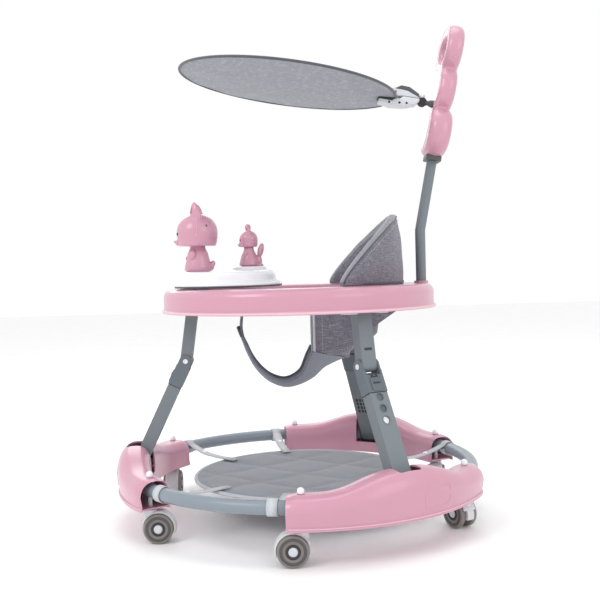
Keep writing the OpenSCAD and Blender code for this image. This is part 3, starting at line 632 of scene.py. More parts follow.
# ---------------------------------------------------------------- bumpers
def skinned_bumper(name, leg, a0):
    """A smooth hollow shell over each third of the ring: rounded ends, a hump in the middle, a rolled bottom lip
    and a notch on the inner side for the leg."""
    lo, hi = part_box("bumper_base_" + leg)
    floor_z = lo.z - 0.0005
    top_end, peak = 0.1175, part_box("bumper_" + leg)[1].z
    half_w, wall, half_a = 0.029, 0.003, 36.0
    slot = 0.0245
    cols = []
    def hump(a):
        x = a / 15.5
        return math.exp(-x * x * x * x * 0.35 - x * x * 0.42)
    def section(a, inset):
        s = abs(a) / half_a
        end = max(0.0, (s - 0.86) / 0.14)
        close = math.sqrt(max(0.0, 1 - end ** 2.4 * 0.52))
        h = hump(a)
        top = floor_z + (top_end - floor_z) * (0.80 + 0.20 * close) + (peak - top_end) * h
        w = half_w * (0.72 + 0.28 * close) + 0.0018 * h
        pts = []
        for k in range(19):
            t = pi * k / 18
            c, q = cos(t), sin(t)
            sup = (abs(c) ** 0.72) * (1 if c > 0 else -1)
            rise = q ** 0.8
            shoulder = floor_z + (top - floor_z) * 0.50
            r = ring_r + (w - inset) * sup + 0.004 * (1 - rise) * (1 if c > 0 else 0)
            z = shoulder + (top - inset - shoulder) * rise
            pts.append((r, z))
        lip = 0.0015
        return [(ring_r + w - inset + lip, floor_z), (ring_r + w - inset + lip, floor_z + 0.0055),
            (ring_r + w - inset + 0.0002, floor_z + 0.0075)] + pts + \
            [(ring_r - w + inset - 0.0002, floor_z + 0.0075), (ring_r - w + inset - lip, floor_z + 0.0055),
                (ring_r - w + inset - lip, floor_z)]
    steps = 84
    angles = [half_a * (1 - 2 * i / steps) for i in range(steps + 1)]
    verts, n = [], None
    for inset in (0, wall):
        for a in angles:
            b = a if inset == 0 else a * (half_a - 0.5) / half_a
            th = rad(a0 + b)
            sec = section(b, inset)
            n = len(sec)
            verts += [(r * cos(th), r * sin(th), z) for r, z in sec]
    faces = grid_faces(steps + 1, n)
    m = (steps + 1) * n
    faces += [tuple(m + i for i in reversed(f)) for f in faces]
    edge = [i * n for i in range(steps + 1)] + [steps * n + j for j in range(1, n)]
    edge += [i * n + n - 1 for i in range(steps - 1, -1, -1)] + [j for j in range(n - 2, 0, -1)]
    faces += [(edge[i], edge[(i + 1) % len(edge)], m + edge[(i + 1) % len(edge)],
        m + edge[i]) for i in range(len(edge))]
    o = made(name, verts, faces, pink, None)
    # Cut the notch for the leg
    out, side = Vector((cos(rad(a0)), sin(rad(a0)), 0)), Vector((-sin(rad(a0)), cos(rad(a0)), 0))
    fm = Matrix((out, side, Vector((0, 0, 1)))).transposed().to_4x4()
    loop = rounded_loop(0.075, 2 * slot, 0.006)
    vs = [fm @ Vector((ring_r - 0.0375 + 0.0175 + x, y, z)) for z in (0.084, 0.2) for x, y in loop]
    k = len(loop)
    cutter = made("cutter", vs, grid_faces(2, k, closed_cols=True) + [tuple(range(k)), tuple(range(k, 2 * k))], pink,
        None)
    b = o.modifiers.new("notch", "BOOLEAN")
    b.operation, b.solver, b.object = "DIFFERENCE", "EXACT", cutter
    applied(o)
    bpy.data.objects.remove(cutter)
    o.data.polygons.foreach_set("use_smooth", [True] * len(o.data.polygons))
    e = o.modifiers.new("soft_edges", "BEVEL")
    e.width, e.segments, e.limit_method, e.angle_limit = 0.0007, 2, "ANGLE", rad(50)
    applied(o)
    w = o.modifiers.new("weighted", "WEIGHTED_NORMAL")
    w.keep_sharp = True
    applied(o)
    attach(o, "base")
    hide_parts("bumper_" + leg)
    # The seam between the cover and its base plate, and a shallow panel on the hump
    seam = []
    for i in range(steps + 1):
        a = half_a * 0.985 * (1 - 2 * i / steps)
        sec = section(a, 0)
        th = rad(a0 + a)
        seam.append(((sec[1][0] + 0.0001) * cos(th), (sec[1][0] + 0.0001) * sin(th), floor_z + 0.0048))
    tube(name + "_lip", seam, 0.0009, pink_lip, "base", 6)
    panel = rounded_loop(0.060, 0.036, 0.012, 8)
    pts = []
    for x, z in panel:
        a = math.degrees(x / 0.359) + 7.5
        zz = 0.097 + z
        sec = section(a, 0)
        best = min(range(3, 12), key=lambda q: abs(sec[q][1] - zz) + (0 if sec[q][0] > ring_r else 1))
        q0, q1 = (best, best + 1) if sec[best][1] <= zz else (best - 1, best)
        d = sec[q1][1] - sec[q0][1]
        t = 0 if abs(d) < 1e-6 else min(1, max(0, (zz - sec[q0][1]) / d))
        r = sec[q0][0] + (sec[q1][0] - sec[q0][0]) * t
        pts.append(((r - 0.0002) * cos(rad(a0 + a)), (r - 0.0002) * sin(rad(a0 + a)), zz))
    tube(name + "_panel", pts, 0.0011, pink, "base", 8, closed=True)


for leg, a0 in LEGS.items():
    skinned_bumper("bumper_shell_" + leg, leg, a0)

# ---------------------------------------------------------------- legs
DEPTH, BLOCK_DEPTH, UPPER_DEPTH = 0.0125, 0.0135, 0.011
for leg in LEGS:
    fold = J["fold" if leg == "front" else "fold_" + leg]
    knee = J["knee_" + leg]
    foot, joint = Vector(fold["pos_m"]), Vector(knee["pos_m"])
    up = (joint - foot).normalized()
    side = Vector(fold["axis"]).normalized()
    out = side.cross(up)
    out = out if out.dot(Vector((foot.x, foot.y, 0))) > 0 else -out
    lower, upper = "lower_" + leg, "upper_" + leg

    def on_leg(height, depth, face=1, across=0.0):
        """A frame on the leg's outer (face 1) or inner (-1) side, with +Y up the leg."""
        return facing(foot + up * height + out * (depth * face) + side * across, up.cross(out * face), out * face)

    # The slide latch: a raised pad with a thumb groove and a rib above it
    latch = pad_plate("latch_pad_" + leg, 0.021, 0.025, 0.0045, 0.0022, on_leg(0.1985, BLOCK_DEPTH - 0.0003),
        joint_grey,
                      "latch_" + leg, dome=0.6)
    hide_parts("fold_latch_" + leg)
    at = on_leg(0.2035, BLOCK_DEPTH + 0.0022)
    tube("latch_rib_" + leg, [at @ Vector((x, 0, 0)) for x in (-0.0075, -0.004, 0, 0.004, 0.0075)], 0.0012, joint_grey,
         "latch_" + leg, 8)
    # The thumb groove: a thin black plate painted as the shade in the groove
    pad_plate("latch_groove_" + leg, 0.016, 0.0026, 0.0012, 0.0003, on_leg(0.2000, BLOCK_DEPTH + 0.0021), black,
              "latch_" + leg, dome=0)
    # Two small black plates painted as the shade in the knee block's windows
    for k, across in enumerate((-0.0045, 0.0045)):
        pad_plate(f"knee_window_{leg}_{k}", 0.0056, 0.0056, 0.0008, 0.0003,
            on_leg(0.2140, BLOCK_DEPTH - 0.0001, 1, across),
                  black, lower, dome=0)
    # Pivot caps on both ends of the knee pin, and the foot's rivet heads
    cap = [(0.0062, -0.0006), (0.0062, 0.0007), (0.0054, 0.0012), (0.0036, 0.0012), (0.0032, 0.0007), (0, 0.0007)]
    rivet = [(0.0048, -0.0004), (0.0048, 0.0006), (0.0036, 0.0018), (0.0018, 0.0024), (0, 0.0025)]
    for k, s in (("a", 1), ("b", -1)):
        lathe(f"knee_cap_{leg}_{k}", [(q * 0.78, h) for q, h in cap], joint + side * (s * 0.0197), side * s, white,
            lower, 32)
        lathe(f"foot_rivet_{leg}_{k}", rivet, foot + side * (s * 0.0232), side * s, steel, "base", 24)
    # Rims round the height holes, and a thin black line painted as the shade in the gap under the knee block
    for k in range(3):
        m = on_leg(0.133 + 0.021 * k, DEPTH)
        rim = [m @ Vector((0.0076 * cos(2 * pi * q / 36), 0.0076 * sin(2 * pi * q / 36), 0)) for q in range(36)]
        tube(f"height_rim_{leg}_{k}", rim, 0.0008, leg_grey, lower, 8, closed=True)
    # A thin black tube painted as the shade in the gap under the knee block
    w = 0.0187
    seam = [foot + up * 0.1835 + out * y + side * x for x, y in rounded_loop(2 * w, 2 * DEPTH + 0.0004, 0.003, 5)]
    tube("knee_gap_shade_line_" + leg, seam, 0.0006, black, lower, 6, closed=True)
    # A slotted vent low on the inner face, its slots drawn as flat black plates of painted shade
    for i in range(3):
        for k in range(4):
            pad_plate(f"vent_{leg}_{i}_{k}", 0.0052, 0.0072, 0.001, 0.0003,
                      on_leg(0.075 + 0.0098 * k, DEPTH - 0.0001, -1, (i - 1) * 0.008), black, lower,
                      dome=0)
    # The upper leg's oval slot, a flat black plate of painted shade, and the clip under the ring
    tmid = node_mid("upper_leg_" + leg)
    radial = Vector((foot.x, foot.y, 0)).normalized()
    lean = math.atan2((tmid - joint).dot(radial), (tmid - joint).z)
    uup = (Vector((0, 0, 1)) * cos(lean) + radial * sin(lean)).normalized()
    uout = side.cross(uup)
    uout = uout if uout.dot(radial) > 0 else -uout
    slot_at = joint + uup * 0.030 + uout * (UPPER_DEPTH - 0.0001)
    pad_plate("upper_slot_" + leg, 0.017, 0.0048, 0.0024, 0.0003, facing(slot_at, uup.cross(uout), uout), black, upper,
              dome=0)
    ring_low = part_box("top_frame")[0].z
    clip = facing(Vector((radial.x * 0.226, radial.y * 0.226, ring_low - 0.0035)), Vector((-radial.y, radial.x, 0)),
        (0, 0, 1))
    for s in (-1, 1):
        box_piece(f"ring_clip_{leg}_{'a' if s > 0 else 'b'}", (s * 0.033 - 0.011, -0.010, 0),
            (s * 0.033 + 0.011, 0.016, 0.0045),
                  clip, pale_grey, "seat_frame", 0.0014, 3)

# ---------------------------------------------------------------- seat ring and tray
flo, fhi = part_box("top_frame")
ring_out = (fhi.x - flo.x) / 2
lip_r, lip_z, lip_sides = ring_out - 0.0016, flo.z + 0.0028, 240
lip = [(lip_r * cos(2 * pi * q / lip_sides), lip_r * sin(2 * pi * q / lip_sides), lip_z) for q in range(lip_sides)]
tube("ring_lip", lip, 0.0024, pink_lip, "seat_frame", 10, closed=True)

tray = NODES["play_tray"].data
flat_points = sorted({(round(v.co.x, 5), round(v.co.y, 5)) for v in tray.vertices if v.co.z < fhi.z + 0.012})


def hull_of(points):
    """The convex outline of a set of points, anticlockwise."""
    def half(ps):
        h = []
        for p in ps:
            while len(h) > 1 and (h[-1][0] - h[-2][0]) * (p[1] - h[-2][1]) <= (h[-1][1] - h[-2][1]) * (p[0] - h[-2][0]):
                h.pop()
            h.append(p)
        return h[:-1]
    return half(points) + half(points[::-1])


def even(points, n):
    """n points spread evenly along a closed outline."""
    ps = [Vector(p) for p in points]
    gaps = [(ps[(i + 1) % len(ps)] - ps[i]).length for i in range(len(ps))]
    total, out, i, run = sum(gaps), [], 0, 0.0
    for k in range(n):
        d = total * k / n
        while run + gaps[i] < d:
            run += gaps[i]
            i += 1
        out.append(ps[i].lerp(ps[(i + 1) % len(ps)], (d - run) / max(gaps[i], 1e-9)))
    return out


outline = even(hull_of(flat_points), 180)
n = len(outline)
for _ in range(4):
    outline = [(outline[i - 1] + outline[i] * 2 + outline[(i + 1) % n]) / 4 for i in range(n)]


def inset(points, d):
    out = []
    for i in range(len(points)):
        t = (points[(i + 1) % n] - points[i - 1]).normalized()
        out.append(points[i] + Vector((-t.y, t.x)) * d)
    return out


zb = fhi.z - 0.0006
profile = [(0.004, 0.0), (0.0006, 0.0004), (0.0002, 0.003), (0.0012, 0.0062), (0.0035, 0.0084), (0.0072, 0.0094),
    (0.0088, 0.0108),
           (0.0098, 0.0145), (0.0105, 0.0200), (0.0122, 0.0246), (0.0158, 0.0280), (0.0205, 0.0294), (0.0260, 0.0296),
           (0.0275, 0.0282), (0.0300, 0.0276)]
verts = []
for d, z in profile:
    verts += [(p.x, p.y, zb + z) for p in inset(outline, d)]
faces = grid_faces(len(profile), n, closed_cols=True) + [tuple(range(n)),
    tuple(range((len(profile) - 1) * n, len(profile) * n))]
tray_shell = made("tray_shell", verts, faces, white, None)
applied(bevel(tray_shell, 0.0005, 2, 40))
tray_shell.data.polygons.foreach_set("use_smooth", [True] * len(tray_shell.data.polygons))
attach(tray_shell, "seat_frame")
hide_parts("play_tray")
# A dark grey tube painted as the shade in the crease where the tray meets the ring
tube("tray_seam_shade_line", [(p.x, p.y, zb + 0.0012) for p in inset(outline, -0.0006)], 0.0017, dark_grey, "seat_frame",
    8,
     closed=True)
kit, squ = Vector(J["kitten_turn"]["pos_m"]), Vector(J["squirrel_turn"]["pos_m"])
top = zb + 0.0276
lathe("kitten_knob", [(0.026, -0.001), (0.026, 0.001), (0.0245, 0.0026), (0.019, 0.0044), (0.0165, 0.0052),
    (0.0155, 0.0062), (0.0, 0.0062)],
      (kit.x, kit.y, top - 0.0012), (0, 0, 1), white, "seat_frame", 64)
lathe("squirrel_dais", [(0.046, -0.001), (0.046, 0.002), (0.0445, 0.0036), (0.0410, 0.0042), (0.0355, 0.0044),
    (0.0340, 0.0060),
                        (0.0330, 0.0094), (0.0310, 0.0110), (0.0250, 0.0116), (0.0, 0.0118)],
      (squ.x, squ.y, top - 0.0012), (0, 0, 1), white, "seat_frame", 72)
# ---------------------------------------------------------------- toys
def cone(base, tip, r, flat=1.0, segs=20):
    """A closed, slightly rounded cone from base to tip, as (verts, faces)."""
    base, tip = Vector(base), Vector(tip)
    u, v, w = axes_of(tip - base)
    length = (tip - base).length
    verts = []
    rows = ((1.0, 0.0), (0.96, 0.3), (0.78, 0.6), (0.48, 0.84), (0.16, 0.97), (0.02, 1.0))
    for s, h in rows:
        for j in range(segs):
            a = 2 * pi * j / segs
            verts.append(base + u * (r * s * cos(a)) + v * (r * s * flat * sin(a)) + w * (length * h))
    faces = grid_faces(len(rows), segs, closed_cols=True)
    faces += [tuple(range(segs)), tuple(range((len(rows) - 1) * segs, len(rows) * segs))]
    return verts, faces


def toy(kind, body, at, base_z, head_z, head_r, flat_z, skirt, extras):
    """A turning figure: a round head with a flat underside on a skirted body, facing the front."""
    c = Vector((at.x, at.y, 0))
    vs, fs = ball(c + Vector((0, 0, head_z)), head_r, 40)
    # Below its middle the head keeps its width, down to a flat underside
    vs = [Vector((v.x, v.y, max(flat_z, v.z if v.z > head_z else head_z - (head_z - v.z) * 1.7))) for v in vs]
    blobs = [(vs, fs)] + [f(c) for f in extras]
    head = merged(kind + "_head", blobs, 0.0012, pink, body, 5)
    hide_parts("toy_" + kind)
    lathe(kind + "_body", [(r, z) for r, z in skirt], (c.x, c.y, base_z), (0, 0, 1), pink, body, 48)
    seam = []
    for k in range(60):
        q = 2 * pi * k / 60
        z = head_z + (head_r[2] + 0.0001) * sin(q)
        if z > flat_z + 0.002:
            seam.append(c + Vector(((head_r[0] + 0.0001) * cos(q), 0.002, z)))
    tube(kind + "_seam", seam, 0.00035, pink_lip, body, 6)
    return c


c = toy("kitten", "kitten", kit, 0.4765, 0.5590, (0.0385, 0.0395, 0.0360), 0.5325,
        [(0.0130, 0.0), (0.0150, 0.002), (0.0150, 0.005), (0.0225, 0.0062), (0.0262, 0.010), (0.0255, 0.017),
        (0.0225, 0.030),
         (0.0195, 0.042), (0.0168, 0.048), (0.0150, 0.052), (0.0145, 0.056), (0.0145, 0.060)],
        [lambda c: cone(c + Vector((0.019, 0.001, 0.584)), c + Vector((0.0225, -0.003, 0.6160)), 0.0135, 0.66),
         lambda c: cone(c + Vector((-0.019, 0.001, 0.584)), c + Vector((-0.0225, -0.003, 0.6160)), 0.0135, 0.66),
         lambda c: ball(c + Vector((0, -0.0355, 0.5400)), (0.0125, 0.0080, 0.0066), 20)])
for k, s in (("a", 1), ("b", -1)):
    lathe(f"kitten_eye_{k}", [(0.0032, -0.001), (0.0030, 0.0006), (0.0018, 0.0014), (0, 0.0016)],
          c + Vector((s * 0.0150, -0.0362, 0.5560)), Vector((s * 0.40, -0.90, 0.0)), black, "kitten",
          20)
    pad = facing(c + Vector((s * 0.0213, -0.0088, 0.6000)), (1, 0, 0), (0, -1, 0.20))
    pad_plate(f"kitten_inner_ear_{k}", 0.0085, 0.0125, 0.004, 0.0006, pad, pink_lip, "kitten", dome=0.5)
    # A dark grey disc painted as the shade in each screw hole
    lathe(f"kitten_screw_hole_shade_{k}", [(0.0019, -0.001), (0.0019, 0.0004), (0.0012, 0.0007), (0, 0.0007)],
          c + Vector((s * 0.0305, 0.0205, 0.5700)), Vector((s * 0.80, 0.52, 0.2)), dark_grey, "kitten",
          16)
lathe("kitten_nose", [(0.0022, -0.001), (0.0022, 0.0005), (0.0012, 0.0012), (0, 0.0014)],
    c + Vector((0, -0.0432, 0.5420)), (0, -1, 0.2),
      red, "kitten", 16)
lathe("kitten_chest_button", [(0.0045, -0.001), (0.0045, 0.001), (0.0034, 0.0020), (0, 0.0022)],
    c + Vector((0, -0.0205, 0.5100)),
      (0, -1, 0.3), red, "kitten", 24)
merged("kitten_tail", [ball(c + Vector((0, 0.0245, 0.4930)), (0.0065, 0.0062, 0.0085), 20),
    ball(c + Vector((0, 0.0285, 0.4985)), (0.005, 0.005, 0.006), 20)],
       0.0012, pink, "kitten", 3)
for k, s in (("a", 1), ("b", -1)):
    merged(f"kitten_arm_{k}", [ball(c + Vector((s * 0.0195, -0.008, 0.5150)), (0.0058, 0.0062, 0.0100), 16)], 0.0012,
        pink, "kitten", 2)

c = toy("squirrel", "squirrel", squ, 0.4880, 0.5440, (0.0180, 0.0185, 0.0190), 0.5300,
        [(0.0125, 0.0), (0.0150, 0.0015), (0.0152, 0.0040), (0.0192, 0.0052), (0.0198, 0.0080), (0.0180, 0.0150),
        (0.0150, 0.0260),
         (0.0110, 0.0340), (0.0098, 0.0385), (0.0095, 0.0440)],
        [lambda c: ball(c + Vector((0, -0.0010, 0.5690)), (0.0060, 0.0062, 0.0070), 18),
         lambda c: cone(c + Vector((0.0095, 0.0010, 0.5560)), c + Vector((0.0125, 0.0020, 0.5700)), 0.0042),
         lambda c: cone(c + Vector((-0.0095, 0.0010, 0.5560)), c + Vector((-0.0125, 0.0020, 0.5700)), 0.0042),
         lambda c: ball(c + Vector((0, -0.0172, 0.5345)), (0.0062, 0.0048, 0.0040), 16)])
for k, s in (("a", 1), ("b", -1)):
    lathe(f"squirrel_eye_{k}", [(0.0019, -0.001), (0.0018, 0.0004), (0.0010, 0.0009), (0, 0.0010)],
          c + Vector((s * 0.0080, -0.0166, 0.5440)), Vector((s * 0.42, -0.9, 0)), black, "squirrel", 16)
    merged(f"squirrel_arm_{k}", [ball(c + Vector((s * 0.0125, -0.0060, 0.5170)), (0.0040, 0.0045, 0.0065), 14)], 0.001,
        pink, "squirrel", 2)
lean = Matrix.Rotation(rad(-14), 3, "X")
merged("squirrel_tail", [ball(c + Vector((0, 0.0235, 0.5230)), (0.0100, 0.0062, 0.0150), 24, lean),
    ball(c + Vector((0, 0.0190, 0.5020)), (0.0060, 0.0070, 0.0130), 18),
    ball(c + Vector((0, 0.0180, 0.4930)), (0.0090, 0.0110, 0.0050), 18)],
       0.0011, pink, "squirrel", 4)

# ---------------------------------------------------------------- backrest, sling seat and crotch strap
def smooth_path(points, per=8):
    """A Catmull-Rom curve through points, with per steps a span; a point may carry further values after its place."""
    ps = [Vector(p) for p in points]
    out = []
    for i in range(len(ps) - 1):
        a, b, c2, d = ps[max(i - 1, 0)], ps[i], ps[i + 1], ps[min(i + 2, len(ps) - 1)]
        for k in range(per):
            t = k / per
            out.append(0.5 * (2 * b + (c2 - a) * t + (2 * a - 5 * b + 4 * c2 - d) * t * t + (3 * b - a - 3 * c2 + d) * t ** 3))
    return out + [ps[-1]]


def stitched(name, points, normals, material, body, step=0.005, length=0.003, radius=0.00035):
    """A row of short raised stitches along points."""
    total, verts, faces = 0.0, [], []
    for i in range(len(points) - 1):
        a, b = points[i], points[i + 1]
        gap = (b - a).length
        while total < gap:
            p = a.lerp(b, total / gap)
            q = p + (b - a).normalized() * length
            w = (b - a).normalized().cross(normals[i]).normalized() * radius
            up = normals[i] * radius
            k = len(verts)
            verts += [p - w, p + w, q + w, q - w, (p + q) / 2 + up * 1.6 - w * 0.4, (p + q) / 2 + up * 1.6 + w * 0.4]
            faces += [(k, k + 1, k + 5, k + 4), (k + 2, k + 3, k + 4, k + 5), (k + 1, k + 2, k + 5), (k + 3, k, k + 4),
                (k + 3, k + 2, k + 1, k)]
            total += step
        total -= gap
    return made(name, verts, faces, material, body, smooth=False)


blo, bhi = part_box("backrest")
wing_r, wing_lo, wing_hi, thick = bhi.y - 0.002, blo.z, bhi.z, 0.015
wing_a = 68.0
front_y = wing_r * cos(rad(wing_a))


def wing_top(a):
    """Height of the backrest's top edge at a degrees from the back."""
    y = wing_r * cos(rad(a))
    t = max(0.0, (y - front_y) / (wing_r - front_y))
    return wing_lo + 0.010 + (wing_hi - wing_lo - 0.010) * t ** 0.82


WING_LEAN = 0.011


def lean_at(h):
    """How far the backrest leans in over a height h."""
    return WING_LEAN * h / (wing_hi - wing_lo)


cols, up_rows = 96, 22
verts, n = [], None
for i in range(cols + 1):
    a = wing_a * (1 - 2 * i / cols)
    th = rad(90 + a)
    zt = wing_top(a)
    h = zt - wing_lo
    ease = min(1.0, h / 0.03)
    section = []
    lean_in = lean_at(h)
    for k in range(up_rows + 1):
        t = k / up_rows
        puff = 0.0035 * sin(pi * min(1, t * 1.02)) ** 0.7 * ease
        section.append((wing_r - 0.003 - lean_in * t + puff, wing_lo + (h - 0.006) * t))
    for k in range(1, 8):
        q = pi * k / 8
        section.append((wing_r - 0.003 - lean_in - thick / 2 + thick / 2 * cos(q), zt - 0.006 + 0.006 * sin(q) * ease))
    for k in range(up_rows + 1):
        t = 1 - k / up_rows
        puff = 0.0065 * sin(pi * min(1, t * 1.02)) ** 0.6 * ease
        section.append((wing_r - 0.003 - thick - lean_in * t - puff, wing_lo + (h - 0.006) * t))
    n = len(section)
    for k, (r, z) in enumerate(section):
        p = Vector((r * cos(th), r * sin(th), z))
        fold_in = noise.noise(p * 22) * 0.0022 + noise.noise(p * 60) * 0.0006
        crease = 0.0016 * math.exp(-((abs(a) - 46) / 5) ** 2) * sin(40 * (z - wing_lo) + 1)
        r2 = r + (fold_in - crease) * ease * (1 if k <= up_rows else -1)
        verts.append((r2 * cos(th), r2 * sin(th), z + 0.0012 * noise.noise(Vector((a * 0.07, 3, k * 0.01)))))
faces = grid_faces(cols + 1, n, closed_cols=True)
faces += [tuple(range(n)), tuple(range(cols * n, (cols + 1) * n))]
wing = made("backrest_pad", verts, faces, seat_cloth, "seat_frame")
wing.data.materials.append(seat_lining.m)
for p in wing.data.polygons:
    ks = [v % n for v in p.vertices]
    if len(ks) == 4 and min(ks) >= up_rows and max(ks) <= up_rows + 10:
        p.material_index = 1
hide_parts("backrest")


def wing_point(a, dr, dz):
    th = rad(90 + a)
    r = wing_r + dr - lean_at(wing_top(a) - wing_lo)
    return Vector((r * cos(th), r * sin(th), wing_top(a) + dz))


angles = [wing_a * (1 - 2 * i / 120) for i in range(121)]
for k, dr in enumerate((-0.0035, -0.0175)):
    tube(f"backrest_welt_{'ab'[k]}", [wing_point(a, dr, -0.0042) for a in angles], 0.0016,
        binding if k == 0 else piping, "seat_frame",
         8)
base_band = [Vector(((wing_r - 0.0060) * cos(rad(90 + a)), (wing_r - 0.0060) * sin(rad(90 + a)),
    wing_lo + 0.0035)) for a in angles]
tube("backrest_base_band", base_band, 0.0042, binding, "seat_frame", 10, flat=0.9)
stitched("backrest_stitching", [wing_point(a, 0.0004, -0.0115) for a in angles[6:-6]],
         [Vector((cos(rad(90 + a)), sin(rad(90 + a)), 0)) for a in angles[6:-6]], piping, "seat_frame")

# The sling: a tub of cloth that hangs under the ring, open in front for the legs
slo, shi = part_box("seat_sling")
half, tub_front, tub_back = shi.x - 0.002, slo.y + 0.002, shi.y - 0.002
tub_low, tub_top = slo.z + 0.004, flo.z + 0.012
bend = tub_back - half


def tub_plan(t):
    """A point of the tub's plan, from the left front edge round to the right one, and its outward direction."""
    straight = max(0.0, bend - tub_front)
    total = 2 * straight + pi * half
    d = t * total
    if d < straight:
        return Vector((half, tub_front + d, 0)), Vector((1, 0, 0))
    if d > total - straight:
        return Vector((-half, tub_front + total - d, 0)), Vector((-1, 0, 0))
    q = (d - straight) / half
    return Vector((half * cos(q), bend + half * sin(q), 0)), Vector((cos(q), sin(q), 0))


cols, rows, floor_rows = 90, 26, 12
middle = Vector((0, (tub_front + tub_back) / 2 + 0.006, 0))


def tub_low_at(t):
    """The tub is deeper in front than at the back."""
    p, _ = tub_plan(t)
    return tub_low + 0.030 * max(0.0, (p.y - tub_front) / (tub_back - tub_front)) ** 1.6


def tub_skin(inwards):
    vs = []
    for i in range(cols + 1):
        t = i / cols
        p, d = tub_plan(t)
        low = tub_low_at(t)
        for k in range(rows + 1):
            s = k / rows
            z = tub_top + (low - tub_top) * s
            draw = 0.010 * s ** 2 + 0.0135 * max(0, s - 0.86) / 0.14 * (s > 0.86)
            q = p - d * (draw + inwards)
            q.z = z
            wrinkle = 0.0022 * noise.noise(Vector((q.x * 16, q.y * 16,
                q.z * 28))) + 0.0012 * sin(t * 46 + 3 * s) * s * (1 - s)
            vs.append(q + d * wrinkle)
        edge = vs[-1].copy()
        for k in range(1, floor_rows + 1):
            s = k / floor_rows
            q = edge.lerp(Vector((middle.x, middle.y, edge.z)), s * 0.98)
            q.z = edge.z - 0.008 * sin(pi * min(1, s) / 2) + (inwards if k > 1 else 0)
            vs.append(q + Vector((0, 0, 0.0012 * noise.noise(q * 30))))
    return vs


m = rows + floor_rows + 1
outer, inner = tub_skin(0), tub_skin(0.0016)
verts = outer + inner
k0 = len(outer)
faces = grid_faces(cols + 1, m)
faces += [tuple(k0 + v for v in reversed(f)) for f in faces]
edge = [i * m for i in range(cols + 1)] + [cols * m + j for j in range(1, m)]
edge += [i * m + m - 1 for i in range(cols - 1, -1, -1)] + [j for j in range(m - 2, 0, -1)]
faces += [(edge[i], edge[(i + 1) % len(edge)], k0 + edge[(i + 1) % len(edge)], k0 + edge[i]) for i in range(len(edge))]
sling = made("sling_seat", verts, faces, seat_cloth, "seat_frame")
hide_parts("seat_sling")


for k, i in (("left", 0), ("right", cols)):
    edge_line = [outer[i * m + j] for j in range(0, rows + 1)]
    tube(f"sling_edge_{k}", edge_line, 0.0026, piping, "seat_frame", 10)
    inset_i = 4 if i == 0 else cols - 4
    line = [outer[inset_i * m + j] for j in range(1, rows - 2)]
    _, d = tub_plan(inset_i / cols)
    stitched(f"sling_edge_stitching_{k}", [p + d * 0.0005 for p in line], [d] * len(line), piping, "seat_frame", 0.0055,
        0.0035)
for r_no, j in enumerate((rows - 2, rows - 1)):
    line = [outer[i * m + j] for i in range(2, cols - 1)]
    dirs = [tub_plan(i / cols)[1] for i in range(2, cols - 1)]
    stitched(f"sling_hem_stitching_{r_no}", [p + d * 0.0006 for p, d in zip(line, dirs)], dirs, piping, "seat_frame",
        0.0055, 0.0035)
# Small gussets of the same cloth run back from the tub to the ring's rear
for s in (-1, 1):
    pts = [Vector((s * 0.066, tub_back - 0.055, tub_top + 0.002)),
        Vector((s * 0.080, tub_back + 0.052, tub_top + 0.002)),
           Vector((s * 0.062, tub_back - 0.040, tub_top - 0.062))]
    verts, faces, nn = [], [], 9
    for off in (-0.0009, 0.0009):
        for i in range(nn + 1):
            for j in range(nn + 1):
                u, v = i / nn, j / nn
                p = pts[0].lerp(pts[1], u).lerp(pts[2], v)
                p.x += s * off + s * 0.005 * sin(pi * v) * sin(pi * u)
                verts.append(p)
    q = (nn + 1) ** 2
    faces = grid_faces(nn + 1, nn + 1)
    faces += [tuple(q + v for v in reversed(f)) for f in faces]
    ring_e = [i * (nn + 1) for i in range(nn + 1)] + [nn * (nn + 1) + j for j in range(1, nn + 1)]
    ring_e += [i * (nn + 1) + nn for i in range(nn - 1, -1, -1)] + [j for j in range(nn - 1, 0, -1)]
    faces += [(ring_e[i], ring_e[(i + 1) % len(ring_e)], q + ring_e[(i + 1) % len(ring_e)],
        q + ring_e[i]) for i in range(len(ring_e))]
    gusset = made(f"rear_gusset_{'left' if s > 0 else 'right'}", verts, faces, seat_cloth, "seat_frame")

# The crotch strap: its two edges and its lower middle run on their own routes, so that it hangs hollow like a hammock,
# narrow at the front of the ring and wide where it joins the tub
strap_edges = [(-0.112, 0.409), (-0.117, 0.366), (-0.107, 0.336), (-0.090, 0.302), (-0.062, 0.274), (-0.028, 0.264),
    (0.000, 0.280),
               (tub_front - 0.012, 0.308), (tub_front - 0.003, tub_low + 0.012)]
strap_middle = [(-0.112, 0.409), (-0.118, 0.365), (-0.110, 0.332), (-0.092, 0.294), (-0.062, 0.262), (-0.022, 0.251),
    (0.018, 0.264),
                (0.050, 0.290), (0.088, tub_low - 0.006)]
strap_halves = [0.015, 0.016, 0.019, 0.024, 0.030, 0.037, 0.047, 0.060, half - 0.006]
edge_route = smooth_path([(y, z, w) for (y, z), w in zip(strap_edges, strap_halves)], 9)
route = smooth_path([(y, z, w) for (y, z), w in zip(strap_middle, strap_halves)], 9)
across = 16
strap_half_t, strap_wrinkle = 0.0009, 0.0012
top_side, low_side = [], []
